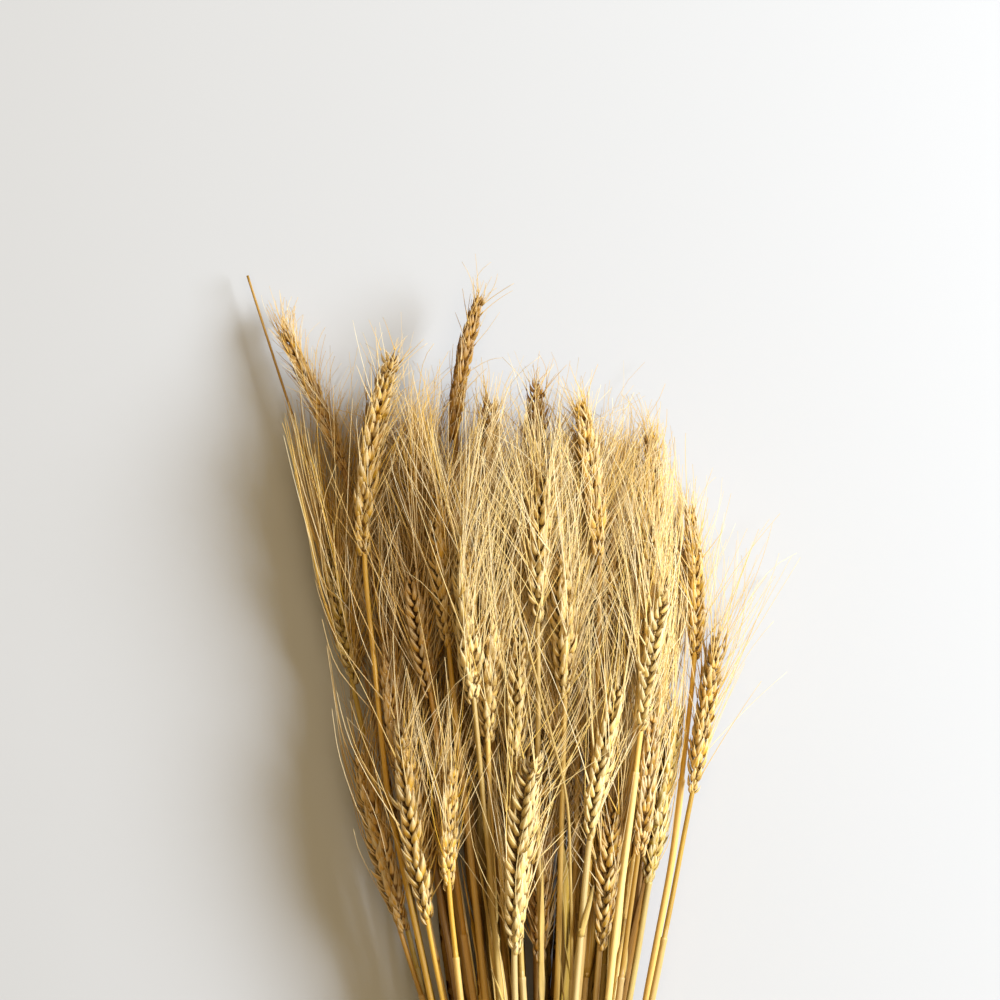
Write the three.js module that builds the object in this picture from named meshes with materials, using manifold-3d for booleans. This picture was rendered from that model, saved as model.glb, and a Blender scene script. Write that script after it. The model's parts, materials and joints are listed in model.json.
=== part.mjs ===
// A bundle of dried bearded wheat, tied round its straws and lying down.
// Millimetres. +Y runs from the cut ends to the ears, +X across, +Z up; it rests on z = 0.
// Each stalk is one grown body: straw with its nodes, two-rowed ear, awns and any dry leaf.

import * as THREE from "three";
import { mergeVertices } from "three/addons/utils/BufferGeometryUtils.js";
import Module from "manifold-3d";

const wasm = await Module();
wasm.setup();

// ---- driving dimensions ------------------------------------------------------------------

const CUT_END = -118; // the cut ends, below the tie, which is at y = 0
const CUT_SPREAD = 7; // how far single cut ends stand proud of that or short of it
const DOME = 60; // height of the bundle at its middle, among the ears
const DOME_HALF_WIDTH = 112;
const FAN_HALF_WIDTH = 92; // an ear this far across has its straw at the tie's side

const STRAW_RADIUS_LOW = 1.8; // at the cut end
const STRAW_RADIUS_HIGH = 1.15; // just under the ear
const STRAW_SIDES = 6;
const STRAW_BENDS = [0.22, 0.45, 0.72, 1]; // between the tie and the ear
const NODE_SWELLING = 1.4;
const NODE_HALF_LENGTH = 3;

const EAR_HALF_WIDTH = 6.2; // across the two rows of spikelets
const EAR_HALF_DEPTH = 4.6;
const SPIKELET_DEPTH = 1.12; // of a ring of the ear, as a share of that
const EAR_REACH = 1.04; // what the ear's skin keeps free round itself, as a share
const SPIKELETS = 11; // in both rows together, larger than life
const SPIKELET_NECK = 0.6; // the ear between two spikelets, as a share of its width there
const SPIKELET_LIFT = 0.42; // how far a spikelet's tip overhangs the next, in steps

const AWNS_PER_EAR = 8;
const AWNS_UNDERNEATH = 1; // on each ear that lies deeper than this:
const UNDERNEATH = -0.3;
const AWN_LENGTH = 74;
const AWN_CEILING = 446; // above the tie: longer awns have broken off here
const AWN_CEILING_FALL = 0.35; // towards the right, a step down for each step across
const AWN_STUMP = 15; // the least that is left of a broken awn
const AWN_RADIUS = 0.46;
const AWN_ROOT = 2; // how deep it sits in its spikelet
const AWN_LEAN = [8, 22]; // degrees from the ear's axis
const AWN_SWING = 60; // degrees either way from straight outward
const AWN_TRIES = 72;

const LEAF_THICKNESS = 0.8;
const LEAF_STEPS = 6;
const LEAF_TRIES = 200;
const LEAF_LEAN = [6, 20]; // degrees from the straw

const TIE_INNER_RADIUS = 17.4;
const TWINE = 2.6; // diameter
const TWINE_TURNS = 4;
const TIE_SEGMENTS = 22;
const TIE_FLAT = 1; // how far the tie is pressed flat where it rests

const GAP = 0.44; // between neighbours
const SLICE = 8; // step along the bundle at which neighbours are kept apart
const SLICES_BELOW_TIE = 16;
const SETTLING_ROUNDS = 600;
const LOOSE_ROUNDS = 0.85; // the share of the rounds in which straws even out freely
const EVENING = [0.9, 0.25]; // how far they even out in those, and in the rest
const YIELD = 0.6; // how fast a straw gives way to what pushes it
const HOMING = [0.003, 0]; // how fast they go back to where they were drawn, likewise
const GATHER = 0.984; // the tie draws the straws together by this
const ROOM_BEYOND_TIE = 0.4; // how fast the room grows away from the tie

const CENTRE_HEIGHT = TIE_INNER_RADIUS + TWINE - TIE_FLAT; // of the tie above the surface

const MOST_PLUMP = 1.1; // no ear is plumper

// ---- where the ears are ------------------------------------------------------------------

// Ears that can be told apart from above: foot across and along, tip across and along, depth
// (1 on top of the bundle, -1 underneath), turn of the two rows from the level in degrees,
// plumpness and tint.
const EARS = {
  left_outermost: [-85, 380, -116, 447, 0.1, 80, 0.75, "brown"],
  left_front_large: [-77, 344, -63, 435, 0.62, 80, 1, "golden"],
  left_edge: [-80, 290, -92, 361, -0.1, 20, 0.85, "olive"],
  left_mid_high: [-53, 328, -55, 399, 0.35, 60, 0.85, "golden"],
  left_mid_low: [-61, 248, -69, 316, 0.35, 75, 0.95, "brown"],
  left_dark: [-48, 286, -57, 344, 0.56, 20, 0.9, "brown"],
  left_brown_low: [-62, 186, -82, 267, 0, 60, 1, "brown"],
  left_front_low: [-49, 191, -62, 279, 0.62, 30, 1.05, "golden"],
  left_slim_low: [-40, 205, -38, 264, 0.8, 70, 0.85, "golden"],
  topmost: [-40, 391, -27, 460, -0.1, 75, 0.75, "golden"],
  high_spread: [-26, 349, -23, 418, 0.45, 30, 0.85, "golden"],
  high_blunt: [-7, 355, -4, 424, 0.25, 55, 0.85, "brown"],
  centre_left_high: [-41, 307, -46, 379, 0.76, 45, 0.85, "golden"],
  centre_bright: [-29, 284, -35, 357, 0.93, 60, 1, "pale"],
  centre_behind: [-17, 311, -17, 382, 0.55, 35, 0.85, "golden"],
  centre_high: [-7, 316, -3, 386, 0.9, 20, 0.9, "pale"],
  centre_left_low: [-25, 266, -20, 332, 0.74, 50, 0.95, "pale"],
  centre_low: [-12, 254, -8, 323, 0.86, 15, 0.9, "pale"],
  centre_right: [7, 285, 5, 353, 0.84, 40, 1, "pale"],
  centre_hidden_low: [4, 248, -3, 307, 0.5, 80, 0.85, "olive"],
  front_pale: [-14, 180, -7, 268, 0.97, 25, 1.05, "pale"],
  front_dark_low: [-3, 174, 0, 244, 0.4, 50, 0.9, "brown"],
  high_kernelled: [22, 344, 13, 416, 0.75, 85, 0.95, "golden"],
  high_right_hidden: [14, 311, 10, 386, 0.5, 70, 0.85, "pale"],
  high_right_slim: [26, 323, 25, 392, 0.3, 10, 0.85, "golden"],
  high_right_back: [33, 323, 36, 391, -0.02, 80, 0.8, "olive"],
  high_right_golden: [42, 332, 43, 403, 0.2, 70, 0.9, "golden"],
  right_pale_high: [40, 290, 45, 361, 0.62, 5, 0.95, "pale"],
  right_pale_low: [34, 273, 45, 339, 0.75, 0, 0.9, "pale"],
  right_front: [16, 228, 32, 299, 0.88, 10, 0.95, "pale"],
  right_kernelled: [35, 219, 39, 284, 0.56, 88, 0.9, "brown"],
  right_back_low: [38, 229, 48, 311, 0.28, 15, 0.9, "pale"],
  right_low: [23, 180, 29, 248, 0.55, 20, 0.9, "golden"],
  right_low_behind: [25, 202, 27, 269, 0.18, 65, 0.9, "olive"],
  right_olive_low: [42, 205, 57, 286, -0.2, 40, 1, "olive"],
  right_upper: [63, 299, 60, 370, -0.1, 85, 0.85, "golden"],
  right_outermost: [59, 245, 70, 317, 0, 60, 0.85, "golden"],
};

// Straws that lost their ears: where they start to lean, their tips and their depths.
const BARE = {
  bare_left: [-104, 403, -128, 469, 0.3, 0, 0.5, "brown"],
  bare_front: [3, 294, -16, 346, 1.05, 0, 0.5, "pale"],
};

// Ears underneath and inside, set out by a rule.
const HIDDEN_EARS = 11;
const HIDDEN_ACROSS = [-56, 50];
const HIDDEN_FOOT = [188, 318];
const HIDDEN_FOOT_START = 0.6; // where in that range the first one's foot lies
const FAIR_STEP = 0.618; // the share of a range between one and the next, which fills it evenly
const HIDDEN_DEPTH = [-0.95, -0.35];
const HIDDEN_LENGTH = 70;
const HIDDEN_DRIFT = 0.12; // how much an ear leans on outward, for each step across
const HIDDEN_STRAY = 8; // how far its tip strays from there
const HIDDEN_TINTS = ["golden", "brown", "olive"];

// Straws inside the bundle that lost their ears.
const HIDDEN_STRAWS = 7;
const HIDDEN_STRAW_ACROSS = [-50, 50];
const HIDDEN_STRAW_TOP = [210, 330];
const HIDDEN_STRAW_DEPTH = [-0.85, 0.1];
const HIDDEN_STRAW_BEND = 60; // below its tip
const HIDDEN_STRAW_TAPER = 0.6; // of its tip, as a share of its width under it
const HIDDEN_STRAW_FOOT = 0.85; // how far across the bend lies, to the tip's 1

// Two ears low at the sides carry the wide end; the tie carries the other.
const RESTING = ["hidden_02", "hidden_10"];
const RESTING_DEPTH = -1.1;
const PRESSED = 1; // how far a resting ear is pressed flat

// Dry leaves: the stalk, the height of its node, length, width, and the side it leaves from
// in degrees (0 is +X, 90 is up).
const LEAVES = [
  ["centre_behind", 210, 62, 6.5, 80],
  ["left_mid_low", 205, 66, 5, 170],
  ["front_pale", 128, 58, 4, 130],
  ["right_front", 176, 40, 4, 60],
  ["left_edge", 236, 70, 5, 190],
];

// ---- small helpers -----------------------------------------------------------------------

const { lerp, smoothstep, degToRad, clamp } = THREE.MathUtils;

// Mulberry32: the same numbers every time.
function seeded(seed) {
  let state = seed;
  return () => {
    state = (state + 0x6d2b79f5) | 0;
    let t = Math.imul(state ^ (state >>> 15), 1 | state);
    t = (t + Math.imul(t ^ (t >>> 7), 61 | t)) ^ t;
    return ((t ^ (t >>> 14)) >>> 0) / 4294967296;
  };
}

function toSolid(geometry) {
  const bare = geometry.clone();
  bare.deleteAttribute("normal");
  bare.deleteAttribute("uv");
  const merged = mergeVertices(bare, 1e-4);
  return new wasm.Manifold(
    new wasm.Mesh({
      numProp: 3,
      vertProperties: new Float32Array(merged.getAttribute("position").array),
      triVerts: new Uint32Array(merged.index.array),
    }),
  );
}

function toGeometry(solid) {
  const mesh = solid.getMesh();
  const geometry = new THREE.BufferGeometry();
  geometry.setAttribute("position", new THREE.BufferAttribute(mesh.vertProperties, 3));
  geometry.setIndex(new THREE.BufferAttribute(mesh.triVerts, 1));
  geometry.computeVertexNormals();
  return geometry;
}

// Moves every vertex of a geometry to where place(vertex) puts it.
function reshape(geometry, place) {
  const positions = geometry.getAttribute("position");
  const vertex = new THREE.Vector3();
  for (let i = 0; i < positions.count; i += 1) {
    const moved = place(vertex.fromBufferAttribute(positions, i));
    positions.setXYZ(i, moved.x, moved.y, moved.z);
  }
  return geometry;
}

// ---- the course of each stalk ------------------------------------------------------------

const sliceHeight = (k) => SLICE * (k - SLICES_BELOW_TIE);

function domeHeight(across) {
  const share = clamp(Math.abs(across) / DOME_HALF_WIDTH, 0, 0.97);
  return DOME * Math.sqrt(1 - share * share);
}

function heightAt(across, depth) {
  return lerp(EAR_HALF_DEPTH, domeHeight(across), (1 + depth) / 2);
}

// Half of the ear's width at a share of its length, and of a straw at a height.
function earFullness(share) {
  return lerp(0.6, 1, smoothstep(share, 0, 0.3)) * lerp(1, 0.6, smoothstep(share, 0.62, 1));
}

function strawRadius(stalk, along) {
  const share = clamp((along - CUT_END) / (stalk.foot.y - CUT_END), 0, 1);
  const full = lerp(STRAW_RADIUS_LOW, STRAW_RADIUS_HIGH, share);
  const past = smoothstep(along, stalk.foot.y, stalk.tip.y);
  return stalk.eared ? full : full * lerp(1, stalk.plump, past);
}

// A stalk's reach from its own axis in one direction of the cross-section.
function reach(stalk, along, dx, dz) {
  if (!stalk.eared || along < stalk.foot.y - SLICE / 2) return strawRadius(stalk, along);
  const share = clamp((along - stalk.foot.y) / (stalk.tip.y - stalk.foot.y), 0, 1);
  const full = stalk.plump * earFullness(share) * EAR_REACH;
  const rows = (dx * stalk.rows.x + dz * stalk.rows.y) * EAR_HALF_WIDTH;
  const flat = (dz * stalk.rows.x - dx * stalk.rows.y) * EAR_HALF_DEPTH;
  return full * Math.hypot(rows, flat);
}

// The straw leaves the tie along the fan and bends into the line of its ear.
function homePlace(stalk, along) {
  const { foot, tip, depth, tied } = stalk;
  const spread = new THREE.Vector3(foot.x, 0, heightAt(foot.x, depth));
  const lean = new THREE.Vector2(
    (tip.x - foot.x) / (tip.y - foot.y),
    (heightAt(tip.x, depth) - spread.z) / (tip.y - foot.y),
  );
  const chord = new THREE.Vector2(foot.x - tied.x, spread.z - tied.y).divideScalar(foot.y);
  const bend = chord.clone().lerp(lean, 0.5);
  if (along <= 0) {
    return new THREE.Vector2(tied.x, tied.y - CENTRE_HEIGHT)
      .multiplyScalar(1 - (0.3 * along) / CUT_END)
      .add(new THREE.Vector2(0, CENTRE_HEIGHT));
  }
  if (along > foot.y) {
    const past = along - foot.y;
    const length = tip.y - foot.y;
    const curl = lean.clone().sub(bend).multiplyScalar(past * past / length);
    return new THREE.Vector2(spread.x, spread.z).addScaledVector(bend, past).add(curl);
  }
  const t = along / foot.y;
  const start = (1 + 2 * t) * (1 - t) * (1 - t);
  const startLean = t * (1 - t) * (1 - t) * foot.y;
  const endLean = t * t * (t - 1) * foot.y;
  return tied
    .clone()
    .multiplyScalar(start)
    .addScaledVector(chord, startLean)
    .addScaledVector(new THREE.Vector2(spread.x, spread.z), 1 - start)
    .addScaledVector(bend, endLean);
}

// Between two joints a straw has no bend.
function runStraight(course, joints) {
  joints.slice(1).forEach((high, i) => {
    const low = joints[i];
    for (let k = low + 1; k < high; k += 1) {
      course[k].lerpVectors(course[low], course[high], (k - low) / (high - low));
    }
  });
}

// A square's place (-1 to 1 each way) moved into the circle of the tie.
function placeInTie(across, depth) {
  const room = TIE_INNER_RADIUS - STRAW_RADIUS_LOW - GAP;
  const x = across * Math.sqrt(1 - (depth * depth) / 2) * room;
  const z = depth * Math.sqrt(1 - (across * across) / 2) * room;
  return new THREE.Vector2(x, CENTRE_HEIGHT + z);
}

// The slices where a straw may bend: its end, both sides of the tie and evenly up to the ear.
function strawJoints(top) {
  const tie = SLICES_BELOW_TIE;
  const spans = Math.floor(top / SLICE) - 1;
  return [0, tie - 1, tie + 1, ...STRAW_BENDS.map((share) => tie + 1 + Math.round(spans * share))];
}

function makeStalk(name, [footX, footY, tipX, tipY, depth, turn, plump, tint], eared, random) {
  const stalk = {
    name,
    tint,
    eared,
    depth,
    plump,
    foot: new THREE.Vector2(footX, footY),
    tip: new THREE.Vector2(tipX, tipY),
    rows: new THREE.Vector2(Math.cos(degToRad(turn)), Math.sin(degToRad(turn))),
    cut: CUT_END + CUT_SPREAD * (2 * random() - 1),
    tied: placeInTie(clamp(footX / FAN_HALF_WIDTH, -1, 1), clamp(depth, -1, 1)),
    floor: RESTING.includes(name) ? -PRESSED : GAP,
    spines: [],
  };
  const slices = Math.ceil((tipY - sliceHeight(0)) / SLICE) + 1;
  stalk.joints = strawJoints(eared ? footY : tipY);
  stalk.node = sliceHeight(stalk.joints[random() < 0.5 ? 3 : 4]);
  stalk.home = Array.from({ length: slices }, (_, k) => homePlace(stalk, sliceHeight(k)));
  runStraight(stalk.home, stalk.joints);
  stalk.course = stalk.home.map((place) => place.clone());
  return stalk;
}

function hiddenStraws(random) {
  return Array.from({ length: HIDDEN_STRAWS }, (_, i) => {
    const across = lerp(...HIDDEN_STRAW_ACROSS, (i + 0.5) / HIDDEN_STRAWS);
    const top = lerp(...HIDDEN_STRAW_TOP, (i * FAIR_STEP) % 1);
    const depth = lerp(...HIDDEN_STRAW_DEPTH, random());
    const tint = HIDDEN_TINTS[(i + 1) % HIDDEN_TINTS.length];
    const bend = [across * HIDDEN_STRAW_FOOT, top - HIDDEN_STRAW_BEND];
    return [...bend, across, top, depth, 0, HIDDEN_STRAW_TAPER, tint];
  });
}

function hiddenEars(random) {
  return Array.from({ length: HIDDEN_EARS }, (_, i) => {
    const share = i / (HIDDEN_EARS - 1);
    const across = lerp(...HIDDEN_ACROSS, share);
    const foot = lerp(...HIDDEN_FOOT, (i * FAIR_STEP + HIDDEN_FOOT_START) % 1);
    const resting = i === 1 || i === HIDDEN_EARS - 2;
    const depth = resting ? RESTING_DEPTH : lerp(...HIDDEN_DEPTH, random());
    const drift = across * HIDDEN_DRIFT + HIDDEN_STRAY * (random() - 0.5);
    const tip = foot + HIDDEN_LENGTH;
    const turn = 180 * random();
    const plump = lerp(0.85, 1, random());
    const tint = HIDDEN_TINTS[i % HIDDEN_TINTS.length];
    return [across, foot, across + drift, tip, depth, turn, plump, tint];
  });
}

// ---- settling: neighbours are pushed apart slice by slice ----------------------------------

function separate(stalks, k) {
  const along = sliceHeight(k);
  const present = stalks.filter((stalk) => k < stalk.course.length);
  const away = new THREE.Vector2();
  present.forEach((one, i) => {
    for (const other of present.slice(i + 1)) {
      away.subVectors(other.course[k], one.course[k]);
      const distance = away.length();
      if (distance > 2 * EAR_HALF_WIDTH * MOST_PLUMP + GAP) continue;
      away.divideScalar(distance || 1);
      const need =
        reach(one, along, away.x, away.y) + reach(other, along, away.x, away.y) + GAP;
      if (distance >= need) continue;
      away.multiplyScalar((need - distance) / 2);
      one.course[k].sub(away);
      other.course[k].add(away);
    }
  });
}

function confine(stalk, k) {
  const along = sliceHeight(k);
  const place = stalk.course[k];
  const beyond = Math.max(0, Math.abs(along) - SLICE);
  const fromTie = new THREE.Vector2(place.x, place.y - CENTRE_HEIGHT);
  const room = TIE_INNER_RADIUS - GAP - strawRadius(stalk, along) + beyond * ROOM_BEYOND_TIE;
  if (beyond === 0) fromTie.multiplyScalar(GATHER);
  if (along < 2 * SLICE) fromTie.clampLength(0, room);
  place.set(fromTie.x, fromTie.y + CENTRE_HEIGHT);
  place.y = Math.max(place.y, reach(stalk, along, 0, -1) + stalk.floor);
}

// Each shift from home is shared along the stalk, so that it stays a smooth line.
function straighten(stalk, share, homing) {
  const shifts = stalk.course.map((place, k) => place.clone().sub(stalk.home[k]));
  const last = shifts.length - 1;
  stalk.course.forEach((place, k) => {
    const before = shifts[Math.max(k - 1, 0)];
    const after = shifts[Math.min(k + 1, last)];
    const even = before.clone().add(after).multiplyScalar(0.5);
    place.copy(stalk.home[k]).addScaledVector(shifts[k].lerp(even, share), 1 - homing);
  });
}

// A straw runs straight between its joints: what its slices were pushed by moves the joints.
function tighten({ joints, course }) {
  const moves = joints.map((joint, i) => {
    const low = joints[i - 1] ?? joint;
    const high = joints[i + 1] ?? joint;
    const move = new THREE.Vector2();
    let weights = 1;
    for (let k = low + 1; k < high; k += 1) {
      const end = k < joint ? low : high;
      if (k === joint) continue;
      const weight = (k - end) / (joint - end);
      const chord = course[end].clone().lerp(course[joint], weight);
      move.addScaledVector(course[k].clone().sub(chord), weight);
      weights += weight * weight;
    }
    return move.divideScalar(weights);
  });
  joints.forEach((joint, i) => course[joint].addScaledVector(moves[i], YIELD));
  runStraight(course, joints);
}

function settle(stalks) {
  const slices = Math.max(...stalks.map((stalk) => stalk.course.length));
  for (let round = 0; round < SETTLING_ROUNDS; round += 1) {
    const phase = round < SETTLING_ROUNDS * LOOSE_ROUNDS ? 0 : 1;
    for (const stalk of stalks) {
      straighten(stalk, EVENING[phase], HOMING[phase]);
      tighten(stalk);
    }
    for (let k = 0; k < slices; k += 1) {
      separate(stalks, k);
      stalks.forEach((stalk) => k < stalk.course.length && confine(stalk, k));
    }
  }
  for (const stalk of stalks) {
    const points = stalk.course.map((place, k) => {
      return new THREE.Vector3(place.x, sliceHeight(k), place.y);
    });
    stalk.line = new THREE.CatmullRomCurve3(points, false, "catmullrom");
  }
}

// Where a spikelet sits: its height, the step to the next, its fullness and its row (1 or -1).
function spikeletPlace(stalk, index) {
  const step = (stalk.tip.y - stalk.foot.y) / (SPIKELETS + 1);
  const along = stalk.foot.y + step * (index + 0.6);
  const full = stalk.plump * earFullness(index / SPIKELETS);
  return { along, step, full, standing: index % 2 === 0 ? 1 : -1 };
}

// The stalk's axis at a height: its point, its direction, the way its rows face, and across.
function station(stalk, along) {
  const span = SLICE * (stalk.course.length - 1);
  const share = clamp((along - sliceHeight(0)) / span, 0, 1);
  const point = stalk.line.getPoint(share);
  const ahead = stalk.line.getTangent(share);
  const level = new THREE.Vector3().crossVectors(ahead, new THREE.Vector3(0, 0, 1)).normalize();
  const rows = level.clone().applyAxisAngle(ahead, -Math.atan2(stalk.rows.y, stalk.rows.x));
  return { point, ahead, rows, flat: new THREE.Vector3().crossVectors(rows, ahead) };
}

// ---- awns and leaves find their way between the other stalks --------------------------------

const SPINE_REACH = 1.06; // a stalk's spine is this much thicker than the stalk

// Whether a straight piece keeps clear of the surface and of every other stalk.
function isClear(stalks, owner, piece, radius) {
  const low = Math.min(piece.start.y, piece.end.y);
  const high = Math.max(piece.start.y, piece.end.y);
  const mine = new THREE.Vector3();
  const theirs = new THREE.Vector3();
  if (Math.min(piece.start.z, piece.end.z) < radius + GAP) return false;
  for (const other of stalks) {
    if (other === owner) continue;
    for (const spine of other.spines) {
      if (spine.line.start.y > high + SLICE || spine.line.end.y < low - SLICE) continue;
      const squared = piece.distanceSqToLine3(spine.line, mine, theirs);
      if (squared > (radius + spine.most + GAP) ** 2) continue;
      const distance = Math.sqrt(squared);
      const away = mine.sub(theirs).divideScalar(distance || 1);
      if (distance < radius + spine.reach(away) + GAP) return false;
    }
  }
  return true;
}

// The stalk's own body as short straight spines, for the others to keep clear of.
function layBodySpines(stalk) {
  const { points } = stalk.line;
  for (let k = 0; k + 1 < points.length; k += 1) {
    const along = (points[k].y + points[k + 1].y) / 2;
    if (along > stalk.tip.y + SLICE) continue;
    stalk.spines.push({
      line: new THREE.Line3(points[k], points[k + 1]),
      most: EAR_HALF_WIDTH * MOST_PLUMP * SPINE_REACH,
      reach: (away) => reach(stalk, along, away.x, away.z) * SPINE_REACH,
    });
  }
}

function laySpine(stalk, line, radius) {
  stalk.spines.push({ line, most: radius, reach: () => radius });
}

// The middle of one facet of a spikelet's flat top, left or right of its keel.
function spikeletTop(stalk, spikelet, flank) {
  const own = earRing(stalk, spikelet);
  const next = spikelet + 1 < SPIKELETS ? earRing(stalk, spikelet + 1) : tipRing(stalk);
  const keel = spikeletPlace(stalk, spikelet).standing > 0 ? 90 : 270;
  const [from, to] = (flank > 0 ? [keel, keel + 60] : [keel - 60, keel]).map(degToRad);
  return own(Math.sin(from), Math.cos(from))
    .add(own(Math.sin(to), Math.cos(to)))
    .add(next(Math.sin(to), Math.cos(to)))
    .divideScalar(3);
}

// Tries for one awn out of the top of the round's spikelet, until one is clear. It shortens as
// the tries go by.
function findAwn(stalks, stalk, round, random) {
  const spikelet = Math.floor(((round + random()) / AWNS_PER_EAR) * SPIKELETS);
  const mouth = spikeletTop(stalk, spikelet, round % 4 < 2 ? 1 : -1);
  const { point, ahead } = station(stalk, mouth.y);
  const outward = mouth.clone().sub(point);
  outward.addScaledVector(ahead, -outward.dot(ahead)).normalize();
  const room = AWN_CEILING - AWN_CEILING_FALL * Math.max(0, mouth.x) - mouth.y;
  let length = Math.min(AWN_LENGTH * lerp(0.85, 1.05, random()), Math.max(AWN_STUMP, room));
  for (let attempt = 0; attempt < AWN_TRIES; attempt += 1) {
    const turn = degToRad(AWN_SWING * (2 * random() - 1));
    const lean = degToRad(lerp(...AWN_LEAN, random()));
    const out = outward.clone().applyAxisAngle(ahead, turn);
    const way = ahead.clone().multiplyScalar(Math.cos(lean)).addScaledVector(out, Math.sin(lean));
    const root = mouth.clone().addScaledVector(way, -AWN_ROOT);
    const line = new THREE.Line3(root, root.clone().addScaledVector(way, length));
    if (isClear(stalks, stalk, line, AWN_RADIUS)) return line;
    if (attempt % 8 === 7) length = Math.max(AWN_STUMP, length * 0.88);
  }
  return null;
}

function growAwns(stalks, random) {
  const eared = stalks.filter((stalk) => stalk.eared);
  eared.forEach((stalk) => (stalk.awns = []));
  for (let round = 0; round < AWNS_PER_EAR; round += 1) {
    for (const stalk of eared) {
      if (stalk.depth < UNDERNEATH && round >= AWNS_UNDERNEATH) continue;
      const line = findAwn(stalks, stalk, round, random);
      if (!line) continue;
      stalk.awns.push(line);
      laySpine(stalk, line, AWN_RADIUS);
    }
  }
}

// A leaf's midline starts inside the straw and arches away from it.
function leafMidline(stalk, node, length, side, lean) {
  const { point, ahead } = station(stalk, node);
  const out = new THREE.Vector3(Math.cos(side), 0, Math.sin(side));
  out.addScaledVector(ahead, -out.dot(ahead)).normalize();
  return (share) => {
    const away = length * share * (0.35 + 0.65 * share) * Math.tan(lean);
    return point.clone().addScaledVector(ahead, length * share).addScaledVector(out, away);
  };
}

function growLeaf(stalks, [name, node, length, width, side], random) {
  const stalk = stalks.find((one) => one.name === name);
  for (let attempt = 0; attempt < LEAF_TRIES; attempt += 1) {
    const way = degToRad(side + (random() - 0.5) * (20 + attempt));
    const lean = degToRad(lerp(...LEAF_LEAN, random()));
    const midline = leafMidline(stalk, node, length, way, lean);
    const pieces = Array.from({ length: LEAF_STEPS }, (_, i) => {
      return new THREE.Line3(midline(i / LEAF_STEPS), midline((i + 1) / LEAF_STEPS));
    });
    if (!pieces.slice(1).every((piece) => isClear(stalks, stalk, piece, width / 2))) continue;
    stalk.leaf = { midline, length, width, side: way };
    pieces.forEach((piece) => laySpine(stalk, piece, width / 2));
    return;
  }
}

// ---- bodies --------------------------------------------------------------------------------

// Heights of the rings that a straw's skin is stretched over, with three at its node.
function strawHeights(stalk) {
  const bends = stalk.joints.slice(1, -1).map(sliceHeight);
  const heights = [stalk.cut, ...bends, stalk.node - NODE_HALF_LENGTH];
  heights.push(stalk.node + NODE_HALF_LENGTH, stalk.eared ? stalk.foot.y : stalk.tip.y);
  return heights.sort((a, b) => a - b);
}

// A ring is a function that puts a point of the unit circle where it belongs.
function strawRing(stalk, along) {
  const { point, rows, flat } = station(stalk, along);
  const swollen = along === stalk.node ? NODE_SWELLING : 1;
  const radius = strawRadius(stalk, along) * swollen;
  return (x, z) => {
    return point.clone().addScaledVector(rows, x * radius).addScaledVector(flat, z * radius);
  };
}

// The two rows swell in turn: at each ring one row stands out and up, the other draws in.
function earRing(stalk, index) {
  const { along, step, full, standing } = spikeletPlace(stalk, index);
  const { point, ahead, rows, flat } = station(stalk, along);
  return (x, z) => {
    const proud = x * standing > 0;
    const size = full * (proud ? 1 : SPIKELET_NECK);
    const lift = step * (proud ? SPIKELET_LIFT : -SPIKELET_LIFT) * (x === 0 ? 0 : 1);
    return point
      .clone()
      .addScaledVector(rows, x * EAR_HALF_WIDTH * size)
      .addScaledVector(flat, z * EAR_HALF_DEPTH * size * SPIKELET_DEPTH)
      .addScaledVector(ahead, lift);
  };
}

function tipRing(stalk) {
  const { point, rows, flat } = station(stalk, stalk.tip.y);
  const radius = EAR_HALF_DEPTH * stalk.plump * 0.3;
  return (x, z) => {
    return point.clone().addScaledVector(rows, x * radius).addScaledVector(flat, z * radius);
  };
}

function stalkSkin(stalk) {
  const rings = strawHeights(stalk).map((along) => strawRing(stalk, along));
  if (stalk.eared) {
    for (let i = 0; i < SPIKELETS; i += 1) rings.push(earRing(stalk, i));
    rings.push(tipRing(stalk));
  }
  const last = rings.length - 1;
  const turned = Math.PI / STRAW_SIDES;
  const tube = new THREE.CylinderGeometry(1, 1, last, STRAW_SIDES, last, false, turned);
  return reshape(tube, (vertex) => {
    const placed = rings[Math.round(vertex.y + last / 2)](vertex.x, vertex.z);
    placed.z = Math.max(placed.z, 0);
    return placed;
  });
}

function awnNeedle(line) {
  const length = line.distance();
  const needle = new THREE.ConeGeometry(AWN_RADIUS, length, 3, 1);
  needle.translate(0, length / 2, 0);
  const way = line.delta(new THREE.Vector3()).normalize();
  const turn = new THREE.Quaternion().setFromUnitVectors(new THREE.Vector3(0, 1, 0), way);
  return needle.applyQuaternion(turn).translate(...line.start.toArray());
}

function leafBlade({ midline, length, width, side }) {
  const blade = new THREE.BoxGeometry(width, length, LEAF_THICKNESS, 1, LEAF_STEPS, 1);
  const across = new THREE.Vector3(-Math.sin(side), 0, Math.cos(side));
  const outward = new THREE.Vector3(Math.cos(side), 0, Math.sin(side));
  return reshape(blade, (vertex) => {
    const share = vertex.y / length + 0.5;
    const full = lerp(0.35, 1, smoothstep(share, 0, 0.25)) * lerp(1, 0.14, share ** 2);
    return midline(share)
      .addScaledVector(across, -vertex.x * full)
      .addScaledVector(outward, vertex.z);
  });
}

const TINTS = { golden: 0xc89a50, pale: 0xe3cc96, brown: 0x9c6f38, olive: 0xa3934f };

function buildStalk(stalk) {
  let solid = toSolid(stalkSkin(stalk));
  for (const line of stalk.awns ?? []) solid = solid.add(toSolid(awnNeedle(line)));
  if (stalk.leaf) solid = solid.add(toSolid(leafBlade(stalk.leaf)));
  const material = new THREE.MeshStandardMaterial({
    color: TINTS[stalk.tint],
    roughness: 0.62,
    metalness: 0,
  });
  const mesh = new THREE.Mesh(toGeometry(solid), material);
  mesh.name = `stalk_${stalk.name}`;
  return mesh;
}

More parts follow.
